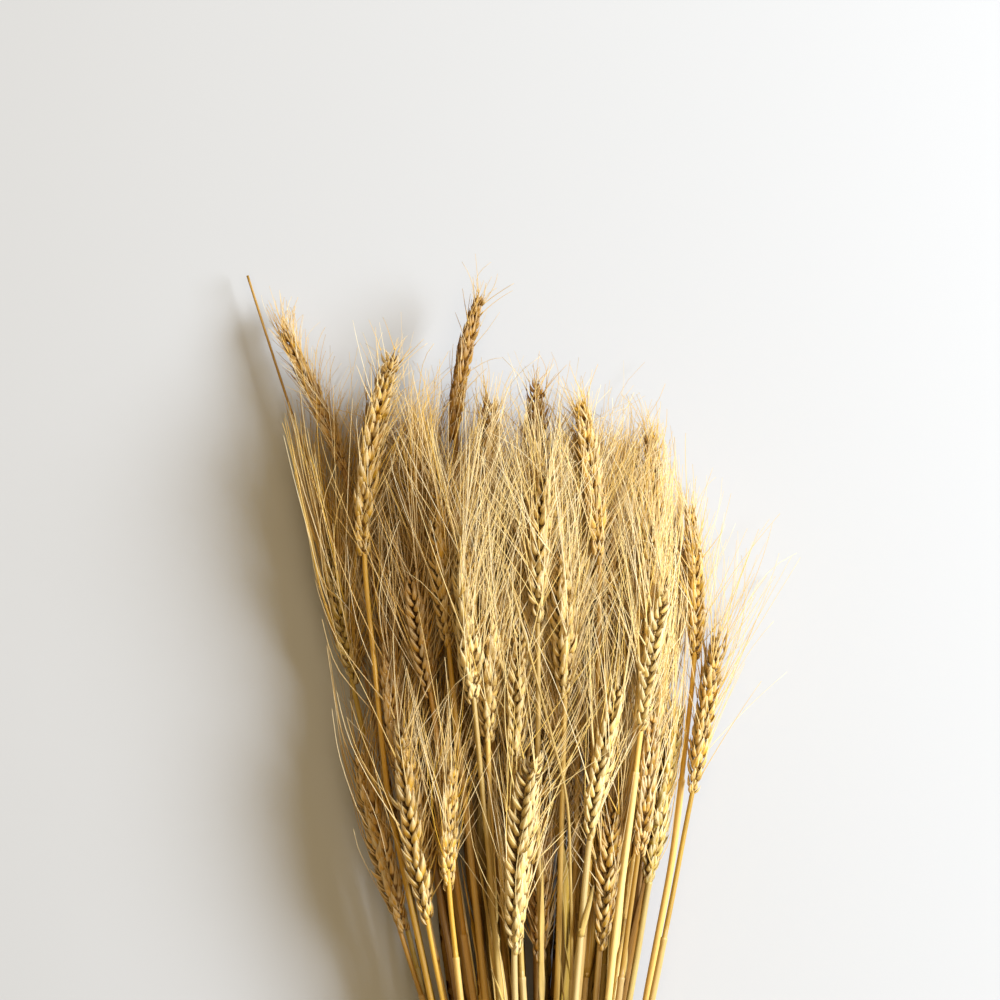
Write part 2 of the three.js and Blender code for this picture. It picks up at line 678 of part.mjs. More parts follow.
// Twine wound tight: one ring whose outside shows its turns, pressed flat underneath.
function buildTie() {
  const half = (TWINE * TWINE_TURNS) / 2;
  const outline = [new THREE.Vector2(TIE_INNER_RADIUS, half)];
  outline.push(new THREE.Vector2(TIE_INNER_RADIUS, -half));
  for (let turn = 0; turn < TWINE_TURNS; turn += 1) {
    const low = -half + turn * TWINE;
    if (turn > 0) outline.push(new THREE.Vector2(TIE_INNER_RADIUS + TWINE * 0.72, low));
    outline.push(new THREE.Vector2(TIE_INNER_RADIUS + TWINE, low + TWINE * 0.3));
    outline.push(new THREE.Vector2(TIE_INNER_RADIUS + TWINE, low + TWINE * 0.7));
  }
  outline.push(outline[0].clone());
  const ring = new THREE.LatheGeometry(outline, TIE_SEGMENTS, Math.PI / TIE_SEGMENTS);
  reshape(ring, (vertex) => {
    vertex.z = Math.max(vertex.z + CENTRE_HEIGHT, 0);
    return vertex;
  });
  const material = new THREE.MeshStandardMaterial({ color: 0xb08d57, roughness: 0.9, metalness: 0 });
  const mesh = new THREE.Mesh(toGeometry(toSolid(ring)), material);
  mesh.name = "tie";
  return mesh;
}

// ---- the bundle ------------------------------------------------------------------------------

function buildBundle() {
  const random = seeded(20);
  const stalks = [];
  for (const [name, ear] of Object.entries(EARS)) stalks.push(makeStalk(name, ear, true, random));
  for (const [name, top] of Object.entries(BARE)) stalks.push(makeStalk(name, top, false, random));
  hiddenEars(random).forEach((ear, i) => {
    stalks.push(makeStalk(`hidden_${String(i + 1).padStart(2, "0")}`, ear, true, random));
  });
  hiddenStraws(random).forEach((top, i) => {
    stalks.push(makeStalk(`hidden_straw_${i + 1}`, top, false, random));
  });
  settle(stalks);
  stalks.forEach(layBodySpines);
  LEAVES.forEach((leaf) => growLeaf(stalks, leaf, random));
  growAwns(stalks, random);

  const bundle = new THREE.Group();
  bundle.add(buildTie(), ...stalks.map(buildStalk));
  const box = new THREE.Box3().setFromObject(bundle);
  const middle = box.getCenter(new THREE.Vector3());
  bundle.position.set(-middle.x, -middle.y, -box.min.z);
  return bundle;
}

export default buildBundle();
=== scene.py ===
"""A bundle of dried bearded wheat lying on a pale floor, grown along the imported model's stalks."""

import json
import math

import bpy
import numpy as np
from bpy.props import FloatProperty, FloatVectorProperty, IntProperty, PointerProperty
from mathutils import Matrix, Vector


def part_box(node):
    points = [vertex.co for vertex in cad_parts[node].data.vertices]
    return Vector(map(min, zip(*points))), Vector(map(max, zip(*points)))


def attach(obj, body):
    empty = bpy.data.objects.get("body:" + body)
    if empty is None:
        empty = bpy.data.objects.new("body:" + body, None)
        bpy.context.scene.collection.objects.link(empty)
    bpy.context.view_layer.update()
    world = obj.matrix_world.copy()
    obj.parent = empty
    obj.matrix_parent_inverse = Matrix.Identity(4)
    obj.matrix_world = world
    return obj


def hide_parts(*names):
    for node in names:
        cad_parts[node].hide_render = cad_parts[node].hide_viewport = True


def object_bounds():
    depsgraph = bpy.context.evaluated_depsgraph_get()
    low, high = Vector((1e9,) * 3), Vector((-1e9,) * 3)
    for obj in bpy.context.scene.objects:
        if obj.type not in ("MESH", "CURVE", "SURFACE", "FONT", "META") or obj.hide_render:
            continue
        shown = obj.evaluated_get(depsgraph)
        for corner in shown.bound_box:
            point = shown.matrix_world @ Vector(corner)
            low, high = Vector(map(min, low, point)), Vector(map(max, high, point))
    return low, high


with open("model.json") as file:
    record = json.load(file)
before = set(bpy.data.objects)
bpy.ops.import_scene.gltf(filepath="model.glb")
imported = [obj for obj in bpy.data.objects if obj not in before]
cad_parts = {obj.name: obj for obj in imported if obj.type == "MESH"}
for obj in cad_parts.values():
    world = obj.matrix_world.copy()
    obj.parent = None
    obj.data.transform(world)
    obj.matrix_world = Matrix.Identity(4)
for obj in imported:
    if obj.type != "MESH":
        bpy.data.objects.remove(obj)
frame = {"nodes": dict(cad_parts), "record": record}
CAD_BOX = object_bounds()

bl_info = {
    "name": "Bundle of Dried Wheat",
    "version": (1, 0, 0),
    "blender": (4, 5, 0),
    "location": "3D View > Sidebar > Wheat",
    "description": "Grows the ears, awns, straws, leaves and twine of a bundle of dried wheat",
    "category": "Add Mesh",
}

# The bundle lies along +Y, its ears up the picture, with the tie round its straws.
SLOT_OF = {row["node"]: row["material_slot"] for row in frame["record"]["subparts"]}
STALKS = sorted(name for name in frame["nodes"] if name.startswith("stalk_"))
TIE_LOW, TIE_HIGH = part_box("tie")
TIE_CENTRE = (TIE_LOW + TIE_HIGH) / 2

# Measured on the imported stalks, in metres.
STRAW_LOW, STRAW_HIGH = 0.0018, 0.00115  # radius at the cut end and under the ear
EAR_REACH = 0.0062  # of an ear's rows from its axis, at plumpness 1
FLOOR_GAP = 0.00015
HIGHEST = CAD_BOX[1][2] + 0.010  # where awns level out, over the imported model

# Ears with fewer or more awns than the others, and how many against them.
BRISTLING = {
    "topmost": 0.25,
    "left_front_large": 0.35,
    "left_outermost": 1.3,
    "left_edge": 3.0,
    "left_mid_high": 1.7,
    "high_spread": 0.5,
    "high_blunt": 0.5,
    "high_kernelled": 0.5,
    "right_kernelled": 0.6,
    "right_upper": 0.5,
    "right_outermost": 0.4,
}

# Ears whose spikelets have opened, and how far. The others draw theirs.
OPENED = {
    "left_front_large": 0.9,
    "high_spread": 1.0,
    "high_blunt": 0.8,
    "front_pale": 0.9,
    "high_kernelled": 0.5,
    "right_kernelled": 0.5,
}

# The bundle's left and right edges: how far above the tie, and how far aside of it.
LEFT_EDGE = [
    (0.202, 0.223, 0.244, 0.265, 0.294, 0.319, 0.332, 0.353, 0.382, 0.403, 0.430, 0.455),
    (-0.066, -0.073, -0.076, -0.081, -0.084, -0.087, -0.090, -0.093, -0.099, -0.103, -0.112, -0.118),
]
RIGHT_EDGE = [
    (0.202, 0.245, 0.269, 0.319, 0.344, 0.370, 0.391, 0.415),
    (0.045, 0.048, 0.051, 0.052, 0.051, 0.050, 0.048, 0.044),
]

# Ears beyond the right edge, and words in the names of those that others bury or half cover.
FREE = ("right_upper", "right_outermost")
BURIED = ("hidden", "behind", "back")
HALF_COVERED = ("spread", "blunt", "high_right")

# Stalks whose straw lies bare on top of the others.
ON_TOP = ("left_front_large", "centre_bright", "centre_right", "right_front")

# How far above the tie, how wide to either side and how high the bundle is there.
BUNDLE_SPREAD = [
    (-0.13, 0.0, 0.1, 0.2, 0.3, 0.42),
    (0.03, 0.02, 0.045, 0.08, 0.10, 0.12),
    (0.050, 0.040, 0.055, 0.068, 0.074, 0.070),
]

# The parts of a stalk, in the order of their finishes.
HUSK, AWN, STRAW, LEAF = range(4)


# ---- what a user would change


def length_property(name, description, default, **limits):
    return FloatProperty(
        name=name, description=description, default=default, unit="LENGTH", **limits
    )


class WheatSizes(bpy.types.PropertyGroup):
    spikelet_gap: length_property(
        "Spikelet gap", "Between two spikelets of one row, along the ear", 0.0056, min=0.004
    )
    husk_length: length_property("Husk length", "Of the longest husks, without their awns", 0.0118)
    husk_width: length_property("Husk width", "Across the widest husks", 0.0037)
    awn_length: length_property("Awn length", "Of a whole, unbroken awn", 0.072)
    awn_radius: length_property("Awn radius", "Of an awn just past its husk", 0.00024)
    awns_per_husk: IntProperty(
        name="Awns per husk",
        description="How many bristles leave each flowering husk at most",
        default=9,
        min=1,
        max=14,
    )
    awn_reach: length_property("Awn reach", "How far above the tie the unbroken awns end", 0.408)
    blade_length: length_property("Blade length", "Of the blades that cling to the straws", 0.110)
    blade_width: length_property("Blade width", "Across the widest withered blades", 0.0070)
    twine_radius: length_property("Twine radius", "Of the whole twine", 0.0013)


def colour_property(name, description, default):
    return FloatVectorProperty(
        name=name, description=description, default=default, subtype="COLOR", min=0, max=1
    )


class WheatColours(bpy.types.PropertyGroup):
    golden: colour_property("Golden", "Most stalks", (0.65, 0.365, 0.030))
    pale: colour_property("Pale", "The bleached stalks on top", (0.75, 0.50, 0.125))
    brown: colour_property("Brown", "Weathered stalks at the side", (0.58, 0.305, 0.030))
    olive: colour_property("Olive", "Stalks dried while green", (0.50, 0.325, 0.030))
    # Dark brown: painted shade at the husks' roots and in the hollow cut ends of the straws, and the
    # real brown of husk bases, straw nodes, spots, withered leaf tips and twine
    brown_and_painted_shade: colour_property("Crevice", "Roots of the husks", (0.10, 0.032, 0.001))
    cream: colour_property("Cream", "Bleached edges and tips", (0.88, 0.74, 0.46))
    twine: colour_property("Twine", "The tie", (0.44, 0.27, 0.11))


class WheatStage(bpy.types.PropertyGroup):
    view_width: length_property(
        "View width", "Seen by the camera at the middle of the bundle's height", 0.420
    )
    camera_height: length_property("Camera height", "Of the camera above the floor", 1.6)
    key: FloatProperty(
        name="Key light", description="Power of the large light at the right", default=149.0
    )
    fill: FloatProperty(
        name="Fill light", description="Strength of the light from all round", default=0.25
    )
    floor: colour_property("Floor", "The pale floor", (0.55, 0.55, 0.55))


# ---- reading a packed stalk


def surface_of(node):
    """Points and triangles of a node, with the points that lie on each other made one."""
    mesh = node.data
    mesh.calc_loop_triangles()
    points = np.empty(len(mesh.vertices) * 3)
    mesh.vertices.foreach_get("co", points)
    corners = np.empty(len(mesh.loop_triangles) * 3, dtype=np.int32)
    mesh.loop_triangles.foreach_get("vertices", corners)
    rounded = np.round(points.reshape(-1, 3), 6)
    merged, index = np.unique(rounded, axis=0, return_inverse=True)
    return merged, index.reshape(-1)[corners].reshape(-1, 3)


class Outline:
    """A closed outline where a plane across the bundle cuts a stalk, as x and z."""

    def __init__(self, points):
        self.points = points
        ahead = np.roll(points, -1, axis=0)
        cross = points[:, 0] * ahead[:, 1] - ahead[:, 0] * points[:, 1]
        twice = cross.sum()
        self.area = abs(twice) / 2
        if self.area < 1e-9:
            self.centre = points.mean(axis=0)
        else:
            self.centre = ((points + ahead) * cross[:, None]).sum(axis=0) / (3 * twice)

    def distance(self, place):
        return float(np.linalg.norm(self.centre - place))

    def long_way(self):
        """The direction in which it is longest, and how long it is."""
        from_centre = self.points - self.centre
        way = np.linalg.svd(from_centre, full_matrices=False)[2][0]
        along = from_centre @ way
        return way, float(along.max() - along.min())


def outlines_at(points, triangles, height):
    above = points[:, 1] > height
    count = above[triangles].sum(axis=1)
    links = {}
    for a, b, c in triangles[(count > 0) & (count < 3)].tolist():
        pairs = ((a, b), (b, c), (c, a))
        first, second = [(min(p), max(p)) for p in pairs if above[p[0]] != above[p[1]]]
        links.setdefault(first, []).append(second)
        links.setdefault(second, []).append(first)
    found = []
    while links:
        edge, walked = next(iter(links)), []
        while edge is not None:
            walked.append(edge)
            edge = next((other for other in links.pop(edge) if other in links), None)
        ends = np.array(walked)
        low, high = points[ends[:, 0]], points[ends[:, 1]]
        share = ((height - low[:, 1]) / (high[:, 1] - low[:, 1]))[:, None]
        found.append(Outline((low + (high - low) * share)[:, [0, 2]]))
    return found


def smoothed(values, steps):
    """Rows of values blurred along their order, with both ends kept."""
    reach = 3 * steps
    kernel = np.exp(-0.5 * (np.arange(-reach, reach + 1) / steps) ** 2)
    kernel /= kernel.sum()
    before = 2 * values[0] - values[reach:0:-1]
    after = 2 * values[-1] - values[-2 : -reach - 2 : -1]
    padded = np.vstack([before, values, after])
    return np.column_stack([np.convolve(column, kernel, "valid") for column in padded.T])


STEP = 0.002  # between two cuts


class Stalk:
    """The course of one packed stalk: its axis, its ear, its node and its leaf."""

    def __init__(self, name):
        self.name = name
        self.kind = name.removeprefix("stalk_")
        self.slot = SLOT_OF[name]
        self.random = np.random.RandomState(17 + 31 * STALKS.index(name))
        points, triangles = surface_of(frame["nodes"][name])
        heights, body, leaf = self.follow(points, triangles)
        areas = np.array([outline.area for outline in body])
        centres = np.array([outline.centre for outline in body])
        self.cut, self.top = heights[0], heights[-1]
        self.eared = areas.max() > 25e-6
        self.buried = any(word in name for word in BURIED)
        self.clear = not self.buried and not any(word in name for word in HALF_COVERED)
        self.foot = self.top
        straw = np.ones(len(heights), bool)
        if self.eared:
            widest = int(areas.argmax())
            start = int(np.flatnonzero(areas[:widest] < 6e-6)[-1])
            self.foot = heights[start]
            straw[start:] = False
        usual = np.array([np.median(areas[max(0, i - 12) : i + 13]) for i in range(len(areas))])
        swollen = straw & (areas > 1.22 * usual)
        self.node = heights[swollen].mean() if swollen.any() else self.cut + 0.18
        self.collar = self.node + self.random.uniform(0.07, 0.14)
        kept = straw & ~swollen
        self.read_ear(heights, body, centres, straw)
        course = np.column_stack([np.interp(heights, heights[kept], c[kept]) for c in centres.T])
        if self.eared:
            course[~straw] = self.ear_axis(heights[~straw])
        self.heights = heights
        self.course = smoothed(course, 5)
        self.leaf = leaf if len(leaf) > 4 else []

    @staticmethod
    def follow(points, triangles):
        """Goes up the stalk cut by cut and keeps to its own body, not its awns or leaf."""
        heights = np.arange(points[:, 1].min() + 0.0004, points[:, 1].max(), STEP)
        body, leaf, drift = [], [], np.zeros(2)
        for height in heights:
            outlines = outlines_at(points, triangles, height)
            if not outlines:
                break
            place = body[-1].centre + drift if body else outlines[0].centre
            best = min(outlines, key=lambda outline: outline.distance(place))
            if best.area < 0.5e-6 or (body and best.distance(place) > 0.007):
                break
            for other in outlines:
                if other is best or other.area < 0.7e-6:
                    continue
                way, width = other.long_way()
                if width > 0.0012 and other.area < 8e-6:
                    leaf.append((height, other.centre, way, width))
            if len(body) > 6:
                drift = (best.centre - body[-6].centre) / 6
            body.append(best)
        return heights[: len(body)], body, leaf

    def read_ear(self, heights, body, centres, straw):
        """The ear's own axis, the way its two rows face and how plump it is."""
        self.rows, self.plump = np.array([1.0, 0.0]), 1.0
        if not self.eared:
            return
        up = heights[~straw]
        fits = [np.polyfit(up - self.foot, column, 2) for column in centres[~straw].T]
        self.ear_axis = lambda at: np.column_stack([np.polyval(f, at - self.foot) for f in fits])
        axis = self.ear_axis(up)
        aside = centres[~straw] - axis
        self.rows = np.linalg.svd(aside, full_matrices=False)[2][0]
        outlines = [outline for outline, bare in zip(body, straw) if not bare]
        reach = [np.abs((o.points - a) @ self.rows).max() for o, a in zip(outlines, axis)]
        self.plump = float(np.percentile(reach, 90)) / EAR_REACH

    def at(self, heights):
        x = np.interp(heights, self.heights, self.course[:, 0])
        z = np.interp(heights, self.heights, self.course[:, 1])
        return np.column_stack([x, heights, z])

    def stations(self, heights):
        """Axis points, the way ahead, the way of the rows, and the way across both."""
        heights = np.asarray(heights, float)
        low = np.clip(heights - 0.002, self.cut, self.top)
        high = np.clip(heights + 0.002, self.cut, self.top)
        ahead = unit(self.at(high) - self.at(low))
        rows = np.tile([self.rows[0], 0.0, self.rows[1]], (len(heights), 1))
        rows = unit(rows - ahead * (rows * ahead).sum(axis=1)[:, None])
        return self.at(heights), ahead, rows, np.cross(rows, ahead)

    def rise_over(self, points):
        """How far points lie over what shows of it, and 0 beside that or over its tip."""
        up = points[..., 1]
        beside = np.abs(points[..., 0] - np.interp(up, self.heights, self.course[:, 0]))
        rise = points[..., 2] - np.interp(up, self.heights, self.course[:, 1])
        over = (up > self.foot) & (up < self.foot + 0.8 * (self.top - self.foot))
        over &= beside < 0.0058
        if self.kind in ON_TOP:
            over |= (up > self.foot - 0.16) & (up <= self.foot) & (beside < 0.0026)
        return np.where(over & (rise > 0), rise, 0.0)

    def radius(self, heights):
        share = np.clip((heights - self.cut) / (self.foot - self.cut), 0, 1)
        return STRAW_LOW + (STRAW_HIGH - STRAW_LOW) * share


def unit(vectors):
    return vectors / np.linalg.norm(vectors, axis=-1, keepdims=True)


def smooth_between(value, low, high):
    share = np.clip((value - low) / (high - low), 0, 1)
    return share * share * (3 - 2 * share)


# ---- skins: many tubes of rings become one mesh


class Skin:
    """Collects tubes of equal rings. Each is closed at both ends and belongs to one part."""

    def __init__(self):
        self.points, self.tones, self.marks = [], [], []
        self.sides, self.ends, self.count = [], [], 0

    def add(self, part, rings, tones, marks=None):
        """rings is tubes x rings x sides x 3, tones one number a tube, marks one a ring."""
        tubes, steps, sides, _ = rings.shape
        rings = self.outward(rings)
        index = np.arange(tubes * steps * sides).reshape(tubes, steps, sides) + self.count
        around = np.roll(index, -1, axis=2)
        quads = np.stack(
            [index[:, :-1], around[:, :-1], around[:, 1:], index[:, 1:]], axis=-1
        ).reshape(-1, 4)
        middle = rings.mean(axis=2)
        length = np.linalg.norm(np.diff(middle, axis=1), axis=2).cumsum(axis=1) * 100
        length = np.concatenate([np.zeros((tubes, 1)), length], axis=1)
        u = np.broadcast_to(np.arange(sides) / sides, (tubes, steps - 1, sides))
        low = np.broadcast_to(length[:, :-1, None], u.shape)
        high = np.broadcast_to(length[:, 1:, None], u.shape)
        corners = [(u, low), (u + 1 / sides, low), (u + 1 / sides, high), (u, high)]
        quad_uvs = np.stack([np.stack(corner, -1) for corner in corners], -2)
        self.sides.append((quads, quad_uvs, part))
        ends = np.concatenate([index[:, 0, ::-1], index[:, -1]])
        along = np.concatenate([length[:, 0], length[:, -1]])[:, None]
        end_uvs = np.stack([np.full(ends.shape, 0.5), np.repeat(along, sides, 1)], -1)
        self.ends.append((ends, end_uvs, part))
        self.points.append(rings.reshape(-1, 3))
        self.tones.append(np.repeat(tones, steps * sides))
        if marks is None:
            marks = np.zeros((tubes, steps))
        self.marks.append(np.repeat(marks.reshape(-1), sides))
        self.count += tubes * steps * sides

    @staticmethod
    def outward(rings):
        """Turns the order of a tube's sides round where its faces would point inward."""
        middle = rings.mean(axis=2, keepdims=True)
        spoke = rings - middle
        turn = np.cross(spoke, np.roll(spoke, -1, axis=2)).sum(axis=2)
        ahead = np.gradient(middle[:, :, 0], axis=1)
        inward = (turn * ahead).sum(axis=(1, 2)) < 0
        rings = rings.copy()
        rings[inward] = rings[inward][:, :, ::-1]
        return rings

    def make(self, name, finishes):
        points = np.concatenate(self.points)
        points[:, 2] = np.maximum(points[:, 2], FLOOR_GAP)
        faces = self.sides + self.ends
        sizes = np.concatenate([np.full(len(face), face.shape[1]) for face, _, _ in faces])
        corners = np.concatenate([face.reshape(-1) for face, _, _ in faces])
        uvs = np.concatenate([uv.reshape(-1, 2) for _, uv, _ in faces])
        parts = np.concatenate([np.full(len(face), part) for face, _, part in faces])
        mesh = bpy.data.meshes.new(name)
        mesh.vertices.add(len(points))
        mesh.vertices.foreach_set("co", points.reshape(-1))
        mesh.loops.add(len(corners))
        mesh.loops.foreach_set("vertex_index", corners.astype(np.int32))
        mesh.polygons.add(len(sizes))
        starts = np.concatenate([[0], sizes.cumsum()[:-1]])
        rows = {"loop_start": starts, "loop_total": sizes, "material_index": parts}
        for label, values in rows.items():
            mesh.polygons.foreach_set(label, values.astype(np.int32))
        grain = mesh.uv_layers.new(name="Grain")
        grain.uv.foreach_set("vector", uvs.astype(np.float32).reshape(-1))
        # deep is the mask of the painted shade inside the bundle
        labels = {"tone": self.tones, "mark": self.marks, "deep": [depth_inside(points)]}
        for label, values in labels.items():
            layer = mesh.attributes.new(label, "FLOAT", "POINT")
            layer.data.foreach_set("value", np.concatenate(values).astype(np.float32))
        mesh.update()
        mesh.validate()
        mesh.shade_smooth()
        for finish in finishes:
            mesh.materials.append(finish)
        return placed(name, mesh)


def placed(name, data):
    """Puts a mesh, light or camera into the scene."""
    made = bpy.data.objects.new(name, data)
    bpy.context.scene.collection.objects.link(made)
    return made


def depth_inside(points):
    """0 on the outside of the bundle to 1 deep inside it: the mask of the painted shade inside the
    bundle.
    """
    up = points[:, 1] - TIE_CENTRE.y
    half = np.interp(up, BUNDLE_SPREAD[0], BUNDLE_SPREAD[1])
    dome = np.interp(up, BUNDLE_SPREAD[0], BUNDLE_SPREAD[2])
    aside = (points[:, 0] - TIE_CENTRE.x) / half
    aside = np.clip(np.where(aside > 0, aside * 1.6, -aside), 0, 1)
    ceiling = dome * np.sqrt(1 - aside**2)
    return smooth_between(ceiling - points[:, 2], 0.004, 0.034)


def tube_rings(middles, radii, level, upright, sides):
    """Rings round middle points: tubes x rings x sides x 3."""
    angle = np.linspace(0, 2 * math.pi, sides, endpoint=False)
    spoke = (
        level[:, :, None] * np.cos(angle)[:, None] + upright[:, :, None] * np.sin(angle)[:, None]
    )
    return middles[:, :, None] + spoke * radii[:, :, None, None]


# ---- the parts of a stalk


def add_straw(skin, stalk):
    """The straw, hollow at its cut end, sheathed above its node, and thin inside the ear."""
    random = stalk.random
    end = stalk.top - 0.009 if stalk.eared else stalk.top
    heights = np.arange(stalk.cut, end, 0.003)
    near = stalk.node + np.array([-0.0022, -0.0012, 0, 0.0012, 0.0022])
    collar = stalk.collar + np.array([-0.0030, -0.0006, 0.0, 0.0004])
    clear = (np.abs(heights - stalk.node) > 0.003) & (np.abs(heights - stalk.collar) > 0.003)
    heights = np.sort(np.concatenate([heights[clear], near, collar]))
    middles, _, rows, flat = stalk.stations(heights)
    radii = stalk.radius(heights)
    sheathed = (heights > stalk.node) & (heights <= stalk.collar)
    radii = radii * np.where(sheathed, 1.12, 0.9)
    radii = radii * (1 + 0.1 * (np.abs(heights - stalk.collar) < 0.0007) * sheathed)
    bump = np.exp(-(((heights - stalk.node) / 0.0014) ** 2))
    radii = radii * (1 + 0.28 * bump)
    if stalk.eared:
        radii = radii * (1 - 0.55 * smooth_between(heights, stalk.foot, stalk.top))
    else:
        radii = radii * (1 - 0.5 * smooth_between(heights, stalk.top - 0.36, stalk.top - 0.10))
    waver = np.cumsum(random.normal(0, 0.00012, (len(heights), 2)), axis=0)
    waver = smoothed(waver - waver.mean(axis=0), 4)
    middles = middles + rows * waver[:, :1] + flat * waver[:, 1:]
    rings = tube_rings(middles[None], radii[None], rows[None], flat[None], 10)
    inside = tube_rings(
        middles[None, [2, 0]], radii[None, [0, 0]] * 0.62, rows[None, [0, 0]], flat[None, [0, 0]], 10
    )
    rings = np.concatenate([inside, rings], axis=1)
    # The hollow's inner rings are marked 1 and 0.6 for painted shade; the node's bump marks its real
    # darker ring
    marks = np.concatenate([[1.0, 0.6], bump])
    marks = np.where(np.concatenate([[False, False], sheathed]), marks - 1.0, marks)
    skin.add(STRAW, rings, random.uniform(0, 1, 1), marks[None])


# How wide a husk is along its length.
HUSK_PROFILE = [
    (0, 0.06, 0.16, 0.32, 0.52, 0.70, 0.86, 1),
    (0.40, 0.70, 0.90, 1.0, 0.84, 0.52, 0.22, 0.06),
]


def husk_rings(base, along, outward, across, length, width, thick, steps, sides):
    """Boat-shaped husks: keeled outside, flat inside, drawn out to a point."""
    u = np.linspace(0, 1, steps)
    full = np.interp(u, HUSK_PROFILE[0], HUSK_PROFILE[1])
    angle = np.linspace(0, 2 * math.pi, sides, endpoint=False)
    side, out = np.cos(angle), np.sin(angle)
    out = np.where(out > 0, out * (0.58 + 0.42 * out**6), out * 0.42)
    bow = 0.10 * np.sin(math.pi * u) + 0.02 * u**2
    spine = (
        base[:, None]
        + along[:, None] * (length[:, None] * u)[..., None]
        + outward[:, None] * (length[:, None] * bow)[..., None]
    )
    wide = (width[:, None, None] / 2) * full[None, :, None] * side
    deep = (thick[:, None, None] / 2) * full[None, :, None] * out
    return (
        spine[:, :, None]
        + across[:, None, None] * wide[..., None]
        + outward[:, None, None] * deep[..., None]
    )


HUSK_SIDES = 8

# One spikelet's husks: place across, place along, tilt aside, turn of its back aside and lean
# outward in degrees, then length, width and depth as shares of the sizes, and whether an awn
# leaves it.
SPIKELET = [
    (-0.46, 0.00, -15, -62, 6, 0.74, 0.94, 0.66, False),
    (0.46, 0.00, 15, 62, 6, 0.74, 0.94, 0.66, False),
    (-0.31, 0.08, -10, -40, 3, 0.96, 1.0, 0.84, True),
    (0.31, 0.08, 10, 40, 3, 0.96, 1.0, 0.84, True),
    (-0.12, 0.23, -4, -14, 0, 0.90, 0.94, 0.84, True),
    (0.15, 0.31, 6, 18, -3, 0.80, 0.86, 0.80, False),
]


def add_ear(skin, stalk, sizes):
    """Two rows of spikelets along the rachis. Returns what the awns need to leave from."""
    random = stalk.random
    span = stalk.top - stalk.foot
    count = max(8, round(2 * span / sizes.spikelet_gap))
    order = np.arange(count)
    share = (order + 0.5) / count
    heights = stalk.foot + 0.001 + share * (span - 0.008)
    points, ahead, rows, flat = stalk.stations(heights)
    facing = np.where(order % 2 == 0, 1.0, -1.0)[:, None]
    full = (0.62 + 0.38 * smooth_between(share, 0, 0.25)) * (
        1 - 0.38 * smooth_between(share, 0.65, 1)
    )
    full = full * stalk.plump
    loose = random.uniform(0, 1) ** 1.5
    flare = OPENED.get(stalk.kind, 0.0) * share**2
    splay = 11 + 5 * loose - 2 * share + 18 * flare + random.normal(0, 2.5, count)
    splay = splay * (0.65 + 0.35 * smooth_between(share, 0, 0.2))
    splay = np.radians(splay)[:, None]
    outer = rows * facing
    spine = unit(ahead * np.cos(splay) + outer * np.sin(splay))
    away = unit(outer * np.cos(splay) - ahead * np.sin(splay))
    tips, ways, outs, grown = [], [], [], []
    for aside, start, tilt, turn, lean, long, wide, deep, awned in SPIKELET:
        wobble = random.normal(0, 3.2 + 2.5 * loose, (3, count))
        ajar = 13 * (random.uniform(size=count) < 0.07)
        tilted = np.radians(tilt * (1 + 1.2 * flare) + wobble[0])[:, None]
        leaned = np.radians(lean + wobble[1] + ajar)[:, None]
        turned = np.radians(turn + 2 * wobble[2])[:, None]
        way = unit(spine * np.cos(tilted) + flat * np.sin(tilted) + away * np.sin(leaned))
        out = away * np.cos(turned) + flat * np.sin(turned)
        out = unit(out - way * (out * way).sum(axis=1)[:, None])
        across = np.cross(out, way)
        length = sizes.husk_length * long * full * random.uniform(0.80, 1.12, count)
        base = (
            points
            + outer * (0.0006 * full[:, None])
            + flat * (aside * sizes.husk_width * full)[:, None]
            + spine * (start * sizes.husk_length * full)[:, None]
        )
        width = sizes.husk_width * wide * full
        thick = sizes.husk_width * deep * full
        steps = 6 if stalk.buried else 9
        rings = husk_rings(base, way, out, across, length, width, thick, steps, HUSK_SIDES)
        tone = np.clip(random.normal(0.5, 0.27, count), 0, 1)
        covered = -0.05 - 1.3 * start
        marks = np.linspace(covered, 1, rings.shape[1])
        skin.add(HUSK, rings, tone, np.tile(marks, (count, 1)))
        if awned:
            tips.append(rings[:, -1].mean(axis=1))
            ways.append(unit(way - out * 0.1))
            outs.append(unit(outer * 0.8 + flat * (aside * 2.0)))
            grown.append(full / stalk.plump)
    return [np.concatenate(found) for found in (tips, ways, outs, grown)]


# Shares of the awns that are broken, stray, bend wildly or curl, and that may lie over their ear.
BROKEN, STRAY, WILD, CURLY, CLINGING = 0.16, 0.10, 0.12, 0.2, 0.5
STRAY_REACH = 0.022  # how much further stray awns go
AWN_STEPS = 9

# How far awns give past an edge, under the ceiling and over the floor, and fall behind an ear.
EDGE_GIVE, CEILING_GIVE, FLOOR_GIVE, DEEPEST_FALL = 0.007, 0.008, 0.006, 0.018


